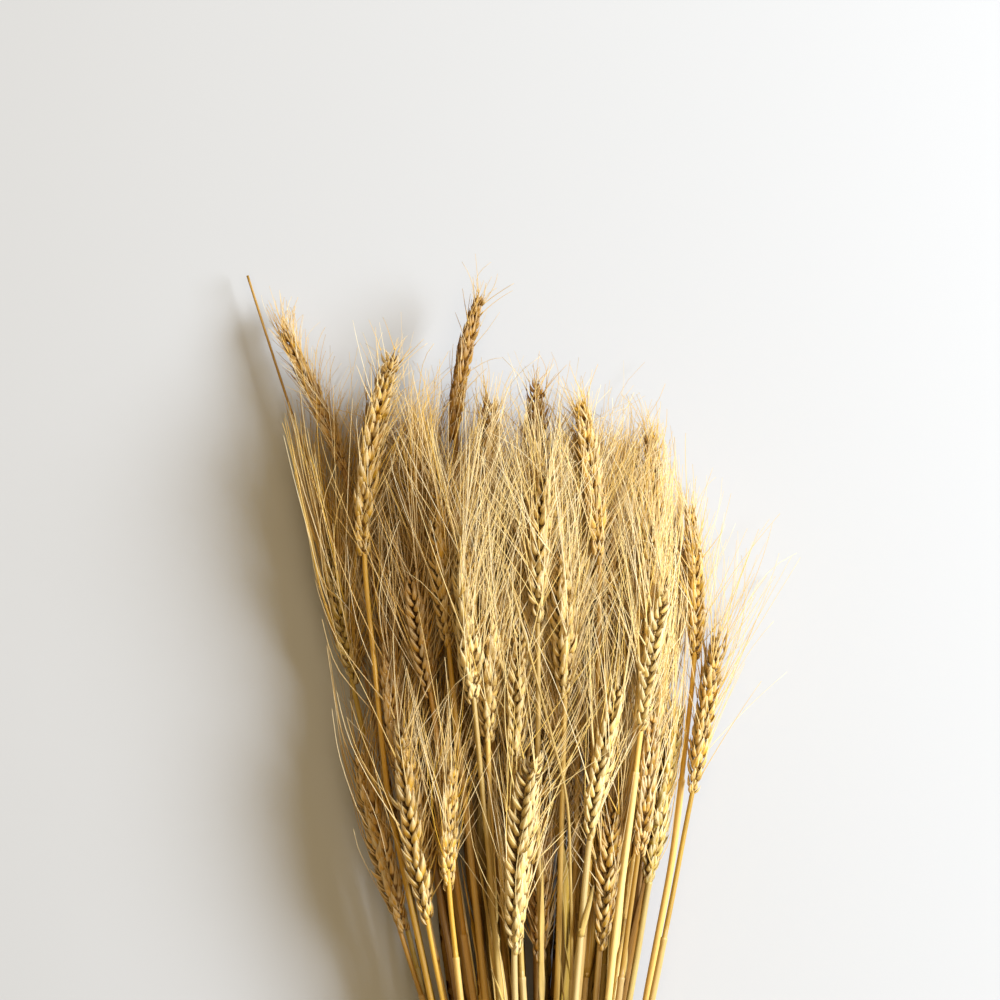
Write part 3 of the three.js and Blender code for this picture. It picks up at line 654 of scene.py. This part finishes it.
def add_awns(skin, stalk, ears, sizes, tips, ways, outs, grown):
    """Long bristles: each follows its husk, swings out and runs up between the ears."""
    random, most = stalk.random, sizes.awns_per_husk
    high = smooth_between(stalk.foot - TIE_CENTRE.y, 0.17, 0.33)
    share = (0.19 + 0.19 * high) * BRISTLING.get(stalk.kind, 1.6 if stalk.buried else 1.0)
    husks = np.flatnonzero(random.uniform(size=len(tips) * most) < share) // most
    tips, ways, outs, grown = tips[husks], ways[husks], outs[husks], grown[husks]
    count = len(tips)

    def some(share):
        return random.uniform(size=count) < share

    ahead = stalk.stations(np.clip(tips[:, 1], stalk.foot, stalk.top))[1]
    turn = random.uniform(-1.3, 1.3, count)[:, None]
    outs = outs * np.cos(turn) + np.cross(ahead, outs) * np.sin(turn)
    outs = unit(outs * [1.7, 1.0, 1.0])
    lean = np.radians(7 + 37 * random.beta(1.2, 1.8, count))[:, None]
    astray = random.normal(0, 0.13, (count, 3))
    first = unit(ways * 0.25 + ahead * np.cos(lean) + outs * np.sin(lean) + astray)
    gathered = 1.6 * (TIE_CENTRE.x - tips[:, :1]) * [1.0, 0.0, 0.0]
    last = ahead + outs * np.tan(lean) + gathered + astray + random.normal(0, 0.07, (count, 3))
    last = unit(last)
    length = sizes.awn_length * random.uniform(0.72, 1.05, count) * (0.75 + 0.25 * grown)
    length = length * (1 + 0.2 * (BRISTLING.get(stalk.kind, 1.0) - 1))
    broken = some(BROKEN)
    length = np.where(broken, length * random.uniform(0.25, 0.8, count), length)
    reach = TIE_CENTRE.y + sizes.awn_reach - 0.5 * np.maximum(0, tips[:, 0])
    stray = STRAY_REACH * some(STRAY)
    room = reach - tips[:, 1] + random.normal(0, 0.009, count) + stray
    length = np.minimum(length, np.maximum(room, random.uniform(0.004, 0.020, count)))
    t = np.linspace(0, 1, AWN_STEPS)[None, :, None]
    run = length[:, None, None]
    thick = sizes.awn_radius * random.uniform(0.75, 1.15, count)[:, None]
    tones = np.clip(random.normal(0.5, 0.28, count), 0, 1)
    path = tips[:, None] + run * (first[:, None] * (t - t**2 / 2) + last[:, None] * t**2 / 2)
    swing = unit(np.cross(first, random.normal(0, 1, (count, 3))))[:, None]
    wild = np.where(some(WILD), 0.10, 0.022)
    bend = (random.normal(0, 1, count) * wild)[:, None, None]
    curly = (stray > 0) | some(CURLY)
    curl = (random.normal(0, 1, count) * curly * (1 + 25 * stray))[:, None, None]
    path = path + swing * run * (bend * np.sin(math.pi * t) + 0.16 * curl * t**4)
    others = [ear for ear in ears if ear is not stalk]
    edges = [(LEFT_EDGE, -1)] if stalk.kind in FREE else [(LEFT_EDGE, -1), (RIGHT_EDGE, 1)]
    bare, clear = combed(random, path, ears, edges)
    own, near = combed(random, path, others, edges)
    clinging = some(CLINGING)
    path = np.where(clinging[:, None, None], own, bare)
    clear = np.where(clinging, near, clear)
    path, thick, tones = path[clear], thick[clear], tones[clear]
    way = unit(np.gradient(path, axis=1))
    level = unit(np.cross(way, [0.0, 0.0, 1.0]))
    upright = np.cross(level, way)
    slender = 1 - 0.62 * t[..., 0] ** 0.8 + 1.1 * np.exp(-t[..., 0] / 0.045)
    rings = tube_rings(path, slender * thick, level, upright, 3)
    skin.add(AWN, rings, tones, np.tile(t[0, :, 0], (len(path), 1)))


def combed(random, path, ears, edges):
    """Lays awns behind the ears they would hide and inside the bundle's edges.

    Returns the paths and which of them are kept.
    """
    count, steps, _ = path.shape
    path = path.copy()
    kept = np.ones(count, bool)
    late = np.linspace(0, 1, steps) ** 1.5
    for ear in ears:
        rise = ear.rise_over(path)
        rise[:, :3] = 0
        fall = np.where(rise > 0, (rise + 0.003) / np.maximum(late, 0.1), 0).max(axis=1)
        kept &= (fall < DEEPEST_FALL) | (random.uniform(size=count) < 0.22)
        fall = np.where(fall < DEEPEST_FALL, fall, 0)
        path[..., 2] -= fall[:, None] * late
    up = path[..., 1] - TIE_CENTRE.y
    for edge, side in edges:
        past = side * (path[..., 0] - TIE_CENTRE.x - np.interp(up, *edge))
        kept &= (past.max(axis=1) < 0.004) | (random.uniform(size=count) < 0.3)
        eased = EDGE_GIVE * (1 - np.exp(-np.maximum(past, 0) / EDGE_GIVE))
        path[..., 0] -= side * np.where(past > 0, past - eased, 0)
    over = np.maximum(path[..., 2] - HIGHEST + CEILING_GIVE, 0)
    path[..., 2] -= over - CEILING_GIVE * (1 - np.exp(-over / CEILING_GIVE))
    low = FLOOR_GIVE * np.log1p(np.exp(np.clip(path[..., 2] / FLOOR_GIVE, -20, 20)))
    path[..., 2] = np.where(path[..., 2] < 0.02, np.maximum(low, 0.001), path[..., 2])
    return path, kept


def blade_rings(random, middles, across, facing, half, fold=0.45):
    """A thin blade: folded along its midrib, with wavy edges."""
    share = np.linspace(0, 1, len(middles))
    columns = np.array([-1, -0.5, 0, 0.5, 1, 0.5, 0, -0.5])
    under = np.array([0, 0, 0, 0, 0, -1, -1, -1]) * 0.00026
    phase = random.uniform(0, 6)
    wave = 0.16 * np.sin(share[:, None] * 17 + columns * 2.0 + phase) * np.abs(columns)
    lift = (np.abs(columns) * fold + wave) * half[:, None] + under
    return (
        middles[:, None]
        + across[:, None] * (columns * half[:, None])[..., None]
        + facing[:, None] * lift[..., None]
    )


def add_dry_blades(skin, stalk, sizes):
    """Withered blades that cling to the straw above its collar and its node."""
    random = stalk.random
    starts = [] if stalk.kind in FREE else [stalk.node + 0.002, stalk.collar - 0.002]
    if stalk.buried:
        starts += list(TIE_CENTRE.y + np.array([0.03, 0.07, 0.11, 0.15]) + random.uniform(0, 0.03, 4))
    for start in starts:
        length = sizes.blade_length * random.uniform(0.5, 1.1)
        too_long = start + length > (stalk.top if stalk.buried else stalk.foot) - 0.01
        if too_long or (not stalk.buried and random.uniform() < 0.25):
            continue
        heights = np.linspace(start, start + length, 14)
        middles, ahead, rows, flat = stalk.stations(heights)
        share = np.linspace(0, 1, len(heights))
        side = random.uniform(0, 2 * math.pi) + 1.1 * share * random.normal()
        out = rows * np.cos(side)[:, None] + flat * np.sin(side)[:, None]
        across = np.cross(ahead, out)
        away = stalk.radius(heights) * 1.15 + length * 0.04 * share**2
        broad = smooth_between(share, -0.15, 0.12) * (1 - 0.92 * share**1.6)
        half = sizes.blade_width / 2 * random.uniform(0.6, 1.1) * broad
        half = half * (1.5 if stalk.buried else 1.0)
        rings = blade_rings(random, middles + out * away[:, None], across, out, half, -0.3)
        skin.add(LEAF, rings[None], random.uniform(0, 1, 1), share[None])


def snug_round(stalks, radius):
    """The way of a taut twine round the straws: points across and up, evenly spaced."""
    count = 240
    angle = np.linspace(0, 2 * math.pi, count, endpoint=False)
    toward = np.column_stack([np.cos(angle), np.sin(angle)])
    heights = np.linspace(TIE_LOW.y, TIE_HIGH.y, 5)
    places = np.concatenate([stalk.at(heights)[:, [0, 2]] for stalk in stalks])
    reach = np.concatenate([stalk.radius(heights) for stalk in stalks]) + radius
    middle = places.mean(axis=0)
    support = ((places - middle) @ toward.T + reach[:, None]).max(axis=0)
    slope = (np.roll(support, -1) - np.roll(support, 1)) / (4 * math.pi / count)
    turned = np.column_stack([-toward[:, 1], toward[:, 0]])
    way = middle + toward * support[:, None] + turned * slope[:, None]
    closed = np.concatenate([way, way[:1]])
    run = np.append(0, np.linalg.norm(np.diff(closed, axis=0), axis=1).cumsum())
    even = np.linspace(0, run[-1], count, endpoint=False)
    way = np.column_stack([np.interp(even, run, column) for column in closed.T])
    for _ in range(3):
        way = (np.roll(way, 1, axis=0) + 2 * way + np.roll(way, -1, axis=0)) / 4
    way[:, 1] = np.maximum(way[:, 1], TIE_LOW.z + radius)
    return way


def add_twine(skin, path, radius):
    """Three strands laid round each other along a path."""
    ahead = unit(np.gradient(path, axis=0))
    middle = path.mean(axis=0) + [0.0, 0.3, -0.02]
    outward = unit(np.cross(ahead, np.cross(middle - path, ahead)))
    beside = np.cross(ahead, outward)
    run = np.append(0, np.linalg.norm(np.diff(path, axis=0), axis=1).cumsum())
    for strand in range(3):
        phase = (run / 0.0011 + strand * 2 * math.pi / 3)[:, None]
        centres = path + (outward * np.cos(phase) + beside * np.sin(phase)) * radius * 0.45
        radii = np.full((1, len(path)), radius * 0.56)
        rings = tube_rings(centres[None], radii, outward[None], beside[None], 8)
        skin.add(HUSK, rings, np.array([strand / 3]))


def knot_paths(place, middle, wide, radius):
    """A loop across the turns and two short ends that leave it."""
    up = unit(place - [middle[0], place[1], middle[1]])
    along = np.array([0.0, 1.0, 0.0])
    aside = np.cross(along, up)
    centre = np.array([place[0], TIE_CENTRE.y, place[2]])
    t = np.linspace(0, 1, 60)[:, None]
    turn = (t - 0.5) * math.pi * 1.15
    loop = centre + along * np.sin(turn) * (wide / 2 + radius * 1.7)
    loop = loop + up * (np.cos(turn) * radius * 2.3 - radius * 0.3)
    paths = [loop + aside * (t - 0.5) * radius * 1.5]
    for side, long, sway in ((1, 0.017, 0.9), (-1, 0.013, -0.5)):
        t = np.linspace(0, 1, 48)[:, None]
        way = aside * side * t + along * sway * t**1.6 * 0.6
        lift = up * (0.22 * np.sin(t * math.pi * 0.8) - 0.10 * t**2)
        paths.append(centre + up * radius * 2.2 + (way + lift) * long)
    return paths


def add_leaf(skin, stalk):
    """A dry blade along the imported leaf, twisted on its way."""
    random = stalk.random
    heights = np.array([cut[0] for cut in stalk.leaf])
    centres = smoothed(np.array([cut[1] for cut in stalk.leaf]), 3)
    widths = smoothed(np.array([[cut[3]] for cut in stalk.leaf]), 3)[:, 0]
    ways = np.array([cut[2] for cut in stalk.leaf])
    signs = np.where((ways @ ways[len(ways) // 2]) < 0, -1.0, 1.0)
    ways = smoothed(ways * signs[:, None], 3)
    middles = np.column_stack([centres[:, 0], heights, centres[:, 1]])
    ahead = unit(np.gradient(middles, axis=0))
    across = np.column_stack([ways[:, 0], np.zeros(len(ways)), ways[:, 1]])
    across = unit(across - ahead * (across * ahead).sum(axis=1)[:, None])
    facing = np.cross(ahead, across)
    share = np.linspace(0, 1, len(heights))
    twist = (0.9 * np.sin(share * 4.2 + random.uniform(0, 6)) * share)[:, None]
    across, facing = (
        across * np.cos(twist) + facing * np.sin(twist),
        facing * np.cos(twist) - across * np.sin(twist),
    )
    rings = blade_rings(random, middles, across, facing, widths / 2)
    skin.add(LEAF, rings[None], np.array([0.5]), share[None])


# ---- finishes


def operator(operation, swapped=False):
    """A sum, difference or product of two values, or of a value and a number."""

    def apply(self, other):
        first, second = (other, self) if swapped else (self, other)
        return self.maths(operation, first, second)

    return apply


class Value:
    """A shader value. Each sum, difference or product adds its Math node."""

    def __init__(self, finish, link):
        self.finish, self.link = finish, link

    def maths(self, operation, first, second):
        return self.finish.node("ShaderNodeMath", {"operation": operation}, {0: first, 1: second})

    __add__, __radd__ = operator("ADD"), operator("ADD", swapped=True)
    __sub__, __rsub__ = operator("SUBTRACT"), operator("SUBTRACT", swapped=True)
    __mul__ = operator("MULTIPLY")


# Painted shade: what is left of a colour's red, green and blue deep inside the bundle, where the
# stalks shade each other.
DEEP_SHADE = (0.38, 0.25, 0.05)


class Finish:
    """A material in the making, with one principled surface."""

    def __init__(self, name, **constants):
        self.material = bpy.data.materials.new(name)
        self.material.use_nodes = True
        self.nodes = self.material.node_tree.nodes
        self.links = self.material.node_tree.links
        self.nodes.clear()
        out = self.nodes.new("ShaderNodeOutputMaterial")
        self.surface = self.nodes.new("ShaderNodeBsdfPrincipled")
        self.links.new(self.surface.outputs[0], out.inputs["Surface"])
        for socket, value in constants.items():
            self.surface.inputs[socket.replace("_", " ")].default_value = value

    def node(self, kind, settings=None, inputs=None, output=0):
        made = self.nodes.new(kind)
        for setting, value in (settings or {}).items():
            setattr(made, setting, value)
        for socket, value in (inputs or {}).items():
            if isinstance(value, Value):
                self.links.new(value.link, made.inputs[socket])
            else:
                made.inputs[socket].default_value = value
        return Value(self, made.outputs[output])

    def feed(self, socket, value):
        self.links.new(value.link, self.surface.inputs[socket])

    def colour_with_painted_shade(self, body, base, most=0.65):
        """Feeds the colour, with painted shade, duller and browner, on what lies deep inside the
        bundle.
        """
        shade = tuple(channel * kept for channel, kept in zip(base, DEEP_SHADE))
        self.feed("Base Color", self.mix(self.attribute("deep") * most, body, shade))

    def attribute(self, name):
        return self.node("ShaderNodeAttribute", {"attribute_name": name}, output="Fac")

    def around_and_along(self):
        """Shares of the way round a tube, and centimetres along it."""
        uv = self.node("ShaderNodeUVMap", {"uv_map": "Grain"})
        split = self.nodes.new("ShaderNodeSeparateXYZ")
        self.links.new(uv.link, split.inputs[0])
        return Value(self, split.outputs[0]), Value(self, split.outputs[1])

    def streaks(self, around, along, tone, detail, roughness=0.55):
        """Noise that is stretched along the straw and moved on for each part."""
        u, v = self.around_and_along()
        places = {0: u * around, 1: v * along, 2: tone * 53.0}
        return self.noise(self.node("ShaderNodeCombineXYZ", None, places), 1.0, detail, roughness)

    def from_keel(self):
        """0 along the keel of a husk, 0.25 at its edges and more inside it."""
        around = self.around_and_along()[0]
        return around.maths("ABSOLUTE", around - 0.25, 0.0)

    def noise(self, place, scale, detail, roughness=0.55):
        inputs = {"Vector": place, "Scale": scale, "Detail": detail, "Roughness": roughness}
        return self.node("ShaderNodeTexNoise", None, inputs)

    def spread(self, value, low, high, to_low=0.0, to_high=1.0):
        inputs = {"Value": value, 1: low, 2: high, 3: to_low, 4: to_high}
        return self.node("ShaderNodeMapRange", {"clamp": True}, inputs)

    def mix(self, share, first, second):
        first, second = [(*c, 1) if isinstance(c, tuple) else c for c in (first, second)]
        settings = {"data_type": "RGBA", "blend_type": "MIX", "clamp_factor": True}
        return self.node("ShaderNodeMix", settings, {0: share, 6: first, 7: second}, output=2)

    def layered(self, body, *layers):
        """Lays colours over each other, each by its share."""
        for share, colour in layers:
            body = self.mix(share, body, colour)
        return body

    def finished(self, streaks, dull, raised, distance, strength):
        """Roughness that follows the streaks, and what is raised. Returns the material."""
        self.feed("Roughness", self.spread(streaks, 0.2, 0.8, *dull))
        inputs = {"Height": raised, "Distance": distance, "Strength": strength}
        self.feed("Normal", self.node("ShaderNodeBump", None, inputs))
        return self.material


def scaled(colour, factor):
    return tuple(min(1.0, channel * factor) for channel in colour)


def begun(name, roughness, gloss):
    """A finish, its way to spread a value, and the tone and mark of its points."""
    finish = Finish(name, Roughness=roughness, Specular_IOR_Level=gloss)
    return finish, finish.spread, finish.attribute("tone"), finish.attribute("mark")


def husk_finish(name, base, brown_and_painted_shade, cream):
    finish, spread, tone, mark = begun(name, 0.5, 0.42)
    keel = finish.from_keel()
    fibres = finish.streaks(13.0, 0.9, tone, 3.0)
    blotch = finish.streaks(1.6, 1.4, tone, 2.0)
    shade = spread(blotch + (tone - 0.5) * 0.9, 0.25, 0.8)
    body = finish.layered(
        finish.mix(shade, scaled(base, 0.7), scaled(base, 1.25)),
        (spread(fibres, 0.45, 0.66) * 0.6, cream),
        (spread(fibres, 0.40, 0.26) * 0.45, scaled(base, 0.35)),
        (spread(mark, 0.4, 0.95, 0.0, 0.6), cream),
        (spread(keel, 0.12, 0.23) * 0.35, cream),
        # Painted shade on the inner face of each husk, past its edges
        (spread(keel, 0.26, 0.30) * 0.7, scaled(base, 0.35)),
        # The husk's covered root: painted shade, with the real brown of husk bases
        (spread(mark, -0.04, 0.10, 0.8, 0.0), brown_and_painted_shade),
    )
    finish.colour_with_painted_shade(body, base)
    return finish.finished(fibres, (0.40, 0.62), fibres * 0.7 + blotch * 0.5, 0.0004, 0.7)


def awn_finish(name, base, cream):
    finish, spread, tone, mark = begun(name, 0.42, 0.3)
    streak = finish.streaks(2.0, 0.9, tone, 2.0)
    body = finish.layered(
        finish.mix(spread(tone, 0.0, 1.0), scaled(base, 1.2), scaled(cream, 1.06)),
        (spread(streak, 0.35, 0.75) * 0.3, scaled(base, 0.7)),
        (spread(mark, 0.0, 0.2, 0.45, 0.0), base),
    )
    finish.colour_with_painted_shade(body, base, 0.32)
    finish.feed("Roughness", spread(streak, 0.2, 0.8, 0.35, 0.55))
    return finish.material


def straw_finish(name, base, brown_and_painted_shade, cream):
    finish, spread, tone, mark = begun(name, 0.36, 0.5)
    fibres = finish.streaks(34.0, 0.22, tone, 3.0)
    blotch = finish.streaks(1.2, 0.45, tone, 4.0)
    spots = finish.streaks(3.0, 2.2, tone, 5.0, 0.7)
    shade = spread(blotch + (tone - 0.5) * 0.9, 0.2, 0.8)
    body = finish.layered(
        finish.mix(shade, scaled(base, 0.66), scaled(base, 1.16)),
        (spread(fibres, 0.5, 0.8) * 0.2, cream),
        (spread(mark, -0.9, -0.1, 0.2, 0.0), cream),
        # Painted shade in the hollow cut end (marks 0.6 and 1), and the real darker ring of the node
        (spread(mark, 0.15, 0.9, 0.0, 0.75), brown_and_painted_shade),
        (spread(spots, 0.66, 0.78) * 0.45, brown_and_painted_shade),
    )
    finish.colour_with_painted_shade(body, base)
    return finish.finished(fibres, (0.28, 0.5), fibres, 0.0003, 0.6)


def leaf_finish(name, base, brown_and_painted_shade, cream):
    finish, spread, tone, mark = begun(name, 0.55, 0.35)
    veins = finish.streaks(40.0, 0.18, tone, 2.0)
    blotch = finish.streaks(2.0, 0.6, tone, 4.0)
    body = finish.layered(
        finish.mix(spread(blotch, 0.3, 0.72), scaled(base, 0.6), scaled(base, 1.1)),
        (spread(veins, 0.5, 0.75) * 0.5, cream),
        (spread(mark, 0.75, 1.0, 0.0, 0.6), brown_and_painted_shade),
    )
    finish.colour_with_painted_shade(body, base)
    return finish.finished(veins, (0.45, 0.65), veins, 0.0004, 0.8)


def twine_finish(name, base, brown_and_painted_shade, cream):
    finish = Finish(name, Roughness=0.85, Specular_IOR_Level=0.2)
    spread = finish.spread
    tone = finish.attribute("tone")
    fibres = finish.streaks(18.0, 3.0, tone, 4.0, 0.65)
    blotch = finish.streaks(1.5, 0.5, tone, 3.0)
    body = finish.layered(
        finish.mix(spread(blotch, 0.3, 0.7), scaled(base, 0.75), scaled(base, 1.2)),
        (spread(fibres, 0.5, 0.75) * 0.5, cream),
        (spread(fibres, 0.25, 0.42, 0.7, 0.0), brown_and_painted_shade),
    )
    finish.feed("Base Color", body)
    return finish.finished(fibres, (0.75, 0.95), fibres, 0.0006, 0.9)


def floor_finish(colour):
    finish = Finish("pale_floor", Roughness=0.8, Specular_IOR_Level=0.2)
    place = finish.node("ShaderNodeTexCoord", output="Object")
    cloud = finish.noise(place, 1.6, 2.0)
    body = finish.mix(finish.spread(cloud, 0.3, 0.7), scaled(colour, 0.985), colour)
    finish.feed("Base Color", body)
    return finish.material


def stalk_finishes(colours):
    """Finishes of husk, awn, straw and leaf for each slot of the record."""
    brown_and_painted_shade, cream = tuple(colours.brown_and_painted_shade), tuple(colours.cream)
    made = {}
    for tint in ("golden", "pale", "brown", "olive"):
        base = tuple(getattr(colours, tint))
        made[f"straw_{tint}"] = [
            husk_finish(f"husk_{tint}", base, brown_and_painted_shade, cream),
            awn_finish(f"awn_{tint}", tuple(colours.golden) if tint == "olive" else base, cream),
            straw_finish(f"straw_{tint}", base, brown_and_painted_shade, cream),
            leaf_finish(f"leaf_{tint}", base, brown_and_painted_shade, cream),
        ]
    return made


# ---- operators


def grow_stalk(stalk, ears, sizes, finishes):
    skin = Skin()
    add_straw(skin, stalk)
    if stalk.eared:
        add_awns(skin, stalk, ears, sizes, *add_ear(skin, stalk, sizes))
    add_dry_blades(skin, stalk, sizes)
    if stalk.leaf:
        add_leaf(skin, stalk)
    piece = skin.make(stalk.name.replace("stalk_", "wheat_"), finishes[stalk.slot])
    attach(piece, "root")
    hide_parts(stalk.name)


class WHEAT_OT_stalks(bpy.types.Operator):
    """Grow every stalk with its straw, ear, awns and leaf"""

    bl_idname = "wheat.stalks"
    bl_label = "Grow stalks"

    def execute(self, context):
        scene = context.scene
        finishes = stalk_finishes(scene.wheat_colours)
        stalks = [Stalk(name) for name in STALKS]
        ears = [stalk for stalk in stalks if stalk.eared and stalk.clear]
        for stalk in stalks:
            grow_stalk(stalk, ears, scene.wheat_sizes, finishes)
        return {"FINISHED"}


class WHEAT_OT_tie(bpy.types.Operator):
    """Wind the twine round the straws"""

    bl_idname = "wheat.tie"
    bl_label = "Wind the tie"

    def execute(self, context):
        scene = context.scene
        sizes, colours = scene.wheat_sizes, scene.wheat_colours
        radius = sizes.twine_radius
        girth = snug_round([Stalk(name) for name in STALKS], radius)
        turns = max(2, round((TIE_HIGH.y - TIE_LOW.y) / (2 * radius)) - 1)
        wide = TIE_HIGH.y - TIE_LOW.y - 2 * radius
        steps, start = 96, 0.12  # of one turn, and the share of the girth where the first begins
        share = np.linspace(0, 1, steps * turns)
        at = (share * turns * len(girth) + len(girth) * start) % len(girth)
        section = np.column_stack(
            [np.interp(at, np.arange(len(girth) + 1), np.append(c, c[0])) for c in girth.T]
        )
        wound = np.column_stack([section[:, 0], TIE_CENTRE.y + (share - 0.5) * wide, section[:, 1]])
        skin = Skin()
        add_twine(skin, wound, radius)
        top = wound[len(wound) // 2 - steps // 2]
        for path in knot_paths(top, girth.mean(axis=0), wide, radius):
            add_twine(skin, path, radius * 0.9)
        brown_and_painted_shade, cream = tuple(colours.brown_and_painted_shade), tuple(colours.cream)
        finish = twine_finish("twine", tuple(colours.twine), brown_and_painted_shade, cream)
        piece = skin.make("twine_tie", [finish])
        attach(piece, "root")
        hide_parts("tie")
        return {"FINISHED"}


class WHEAT_OT_stage(bpy.types.Operator):
    """Lay the floor, hang the lights and set the camera over the bundle"""

    bl_idname = "wheat.stage"
    bl_label = "Set the stage"

    def execute(self, context):
        scene = context.scene
        stage = scene.wheat_stage
        half = 4.0
        mesh = bpy.data.meshes.new("floor")
        corners = [(-half, -half, 0), (half, -half, 0), (half, half, 0), (-half, half, 0)]
        mesh.from_pydata(corners, [], [(0, 1, 2, 3)])
        mesh.materials.append(floor_finish(tuple(stage.floor)))
        floor = placed("floor", mesh)
        middle = Vector((TIE_CENTRE.x, TIE_CENTRE.y + 0.36, 0.03))
        self.hang("key", middle, (2.0, 0.35, 1.46), 1.4, stage.key, (0.80, 0.885, 1.0))
        self.hang("top", middle, (0.2, 0.1, 2.4), 1.6, stage.key * 0.12, (1.0, 0.82, 0.56))
        world = bpy.data.worlds.new("room")
        scene.world = world
        world.use_nodes = True
        background = world.node_tree.nodes["Background"]
        background.inputs[0].default_value = (1.0, 0.73, 0.32, 1)
        background.inputs[1].default_value = stage.fill
        lens = bpy.data.cameras.new("camera")
        lens.sensor_width = 36
        level = 0.032
        lens.lens = 36 * (stage.camera_height - level) / stage.view_width
        lens.clip_start, lens.clip_end = 0.01, 20
        camera = placed("camera", lens)
        camera.location = (TIE_CENTRE.x - 0.01974, TIE_CENTRE.y + 0.3696, stage.camera_height)
        scene.camera = camera
        scene.view_settings.view_transform = "Standard"
        return {"FINISHED"}

    @staticmethod
    def hang(name, middle, offset, size, power, colour):
        data = bpy.data.lights.new(name, "AREA")
        data.shape, data.size, data.energy, data.color = "DISK", size, power, colour
        light = placed(name, data)
        light.location = middle + Vector(offset)
        light.rotation_euler = (middle - light.location).to_track_quat("-Z", "Y").to_euler()


class WHEAT_PT_panel(bpy.types.Panel):
    """The bundle's operators and what they go by"""

    bl_idname = "WHEAT_PT_panel"
    bl_label = "Dried wheat"
    bl_space_type = "VIEW_3D"
    bl_region_type = "UI"
    bl_category = "Wheat"

    def draw(self, context):
        layout = self.layout
        for operator in OPERATORS:
            layout.operator(operator.bl_idname)
        for group in GROUPS:
            settings = getattr(context.scene, group)
            for name in settings.__annotations__:
                layout.prop(settings, name)


OPERATORS = (WHEAT_OT_stalks, WHEAT_OT_tie, WHEAT_OT_stage)
GROUPS = {"wheat_sizes": WheatSizes, "wheat_colours": WheatColours, "wheat_stage": WheatStage}
CLASSES = (*GROUPS.values(), *OPERATORS, WHEAT_PT_panel)


def register():
    for made in CLASSES:
        bpy.utils.register_class(made)
    for name, group in GROUPS.items():
        setattr(bpy.types.Scene, name, PointerProperty(type=group))


def unregister():
    for name in GROUPS:
        delattr(bpy.types.Scene, name)
    for made in reversed(CLASSES):
        bpy.utils.unregister_class(made)


def main():
    register()
    bpy.ops.wheat.stalks()
    bpy.ops.wheat.tie()
    bpy.ops.wheat.stage()


if __name__ == "__main__":
    main()
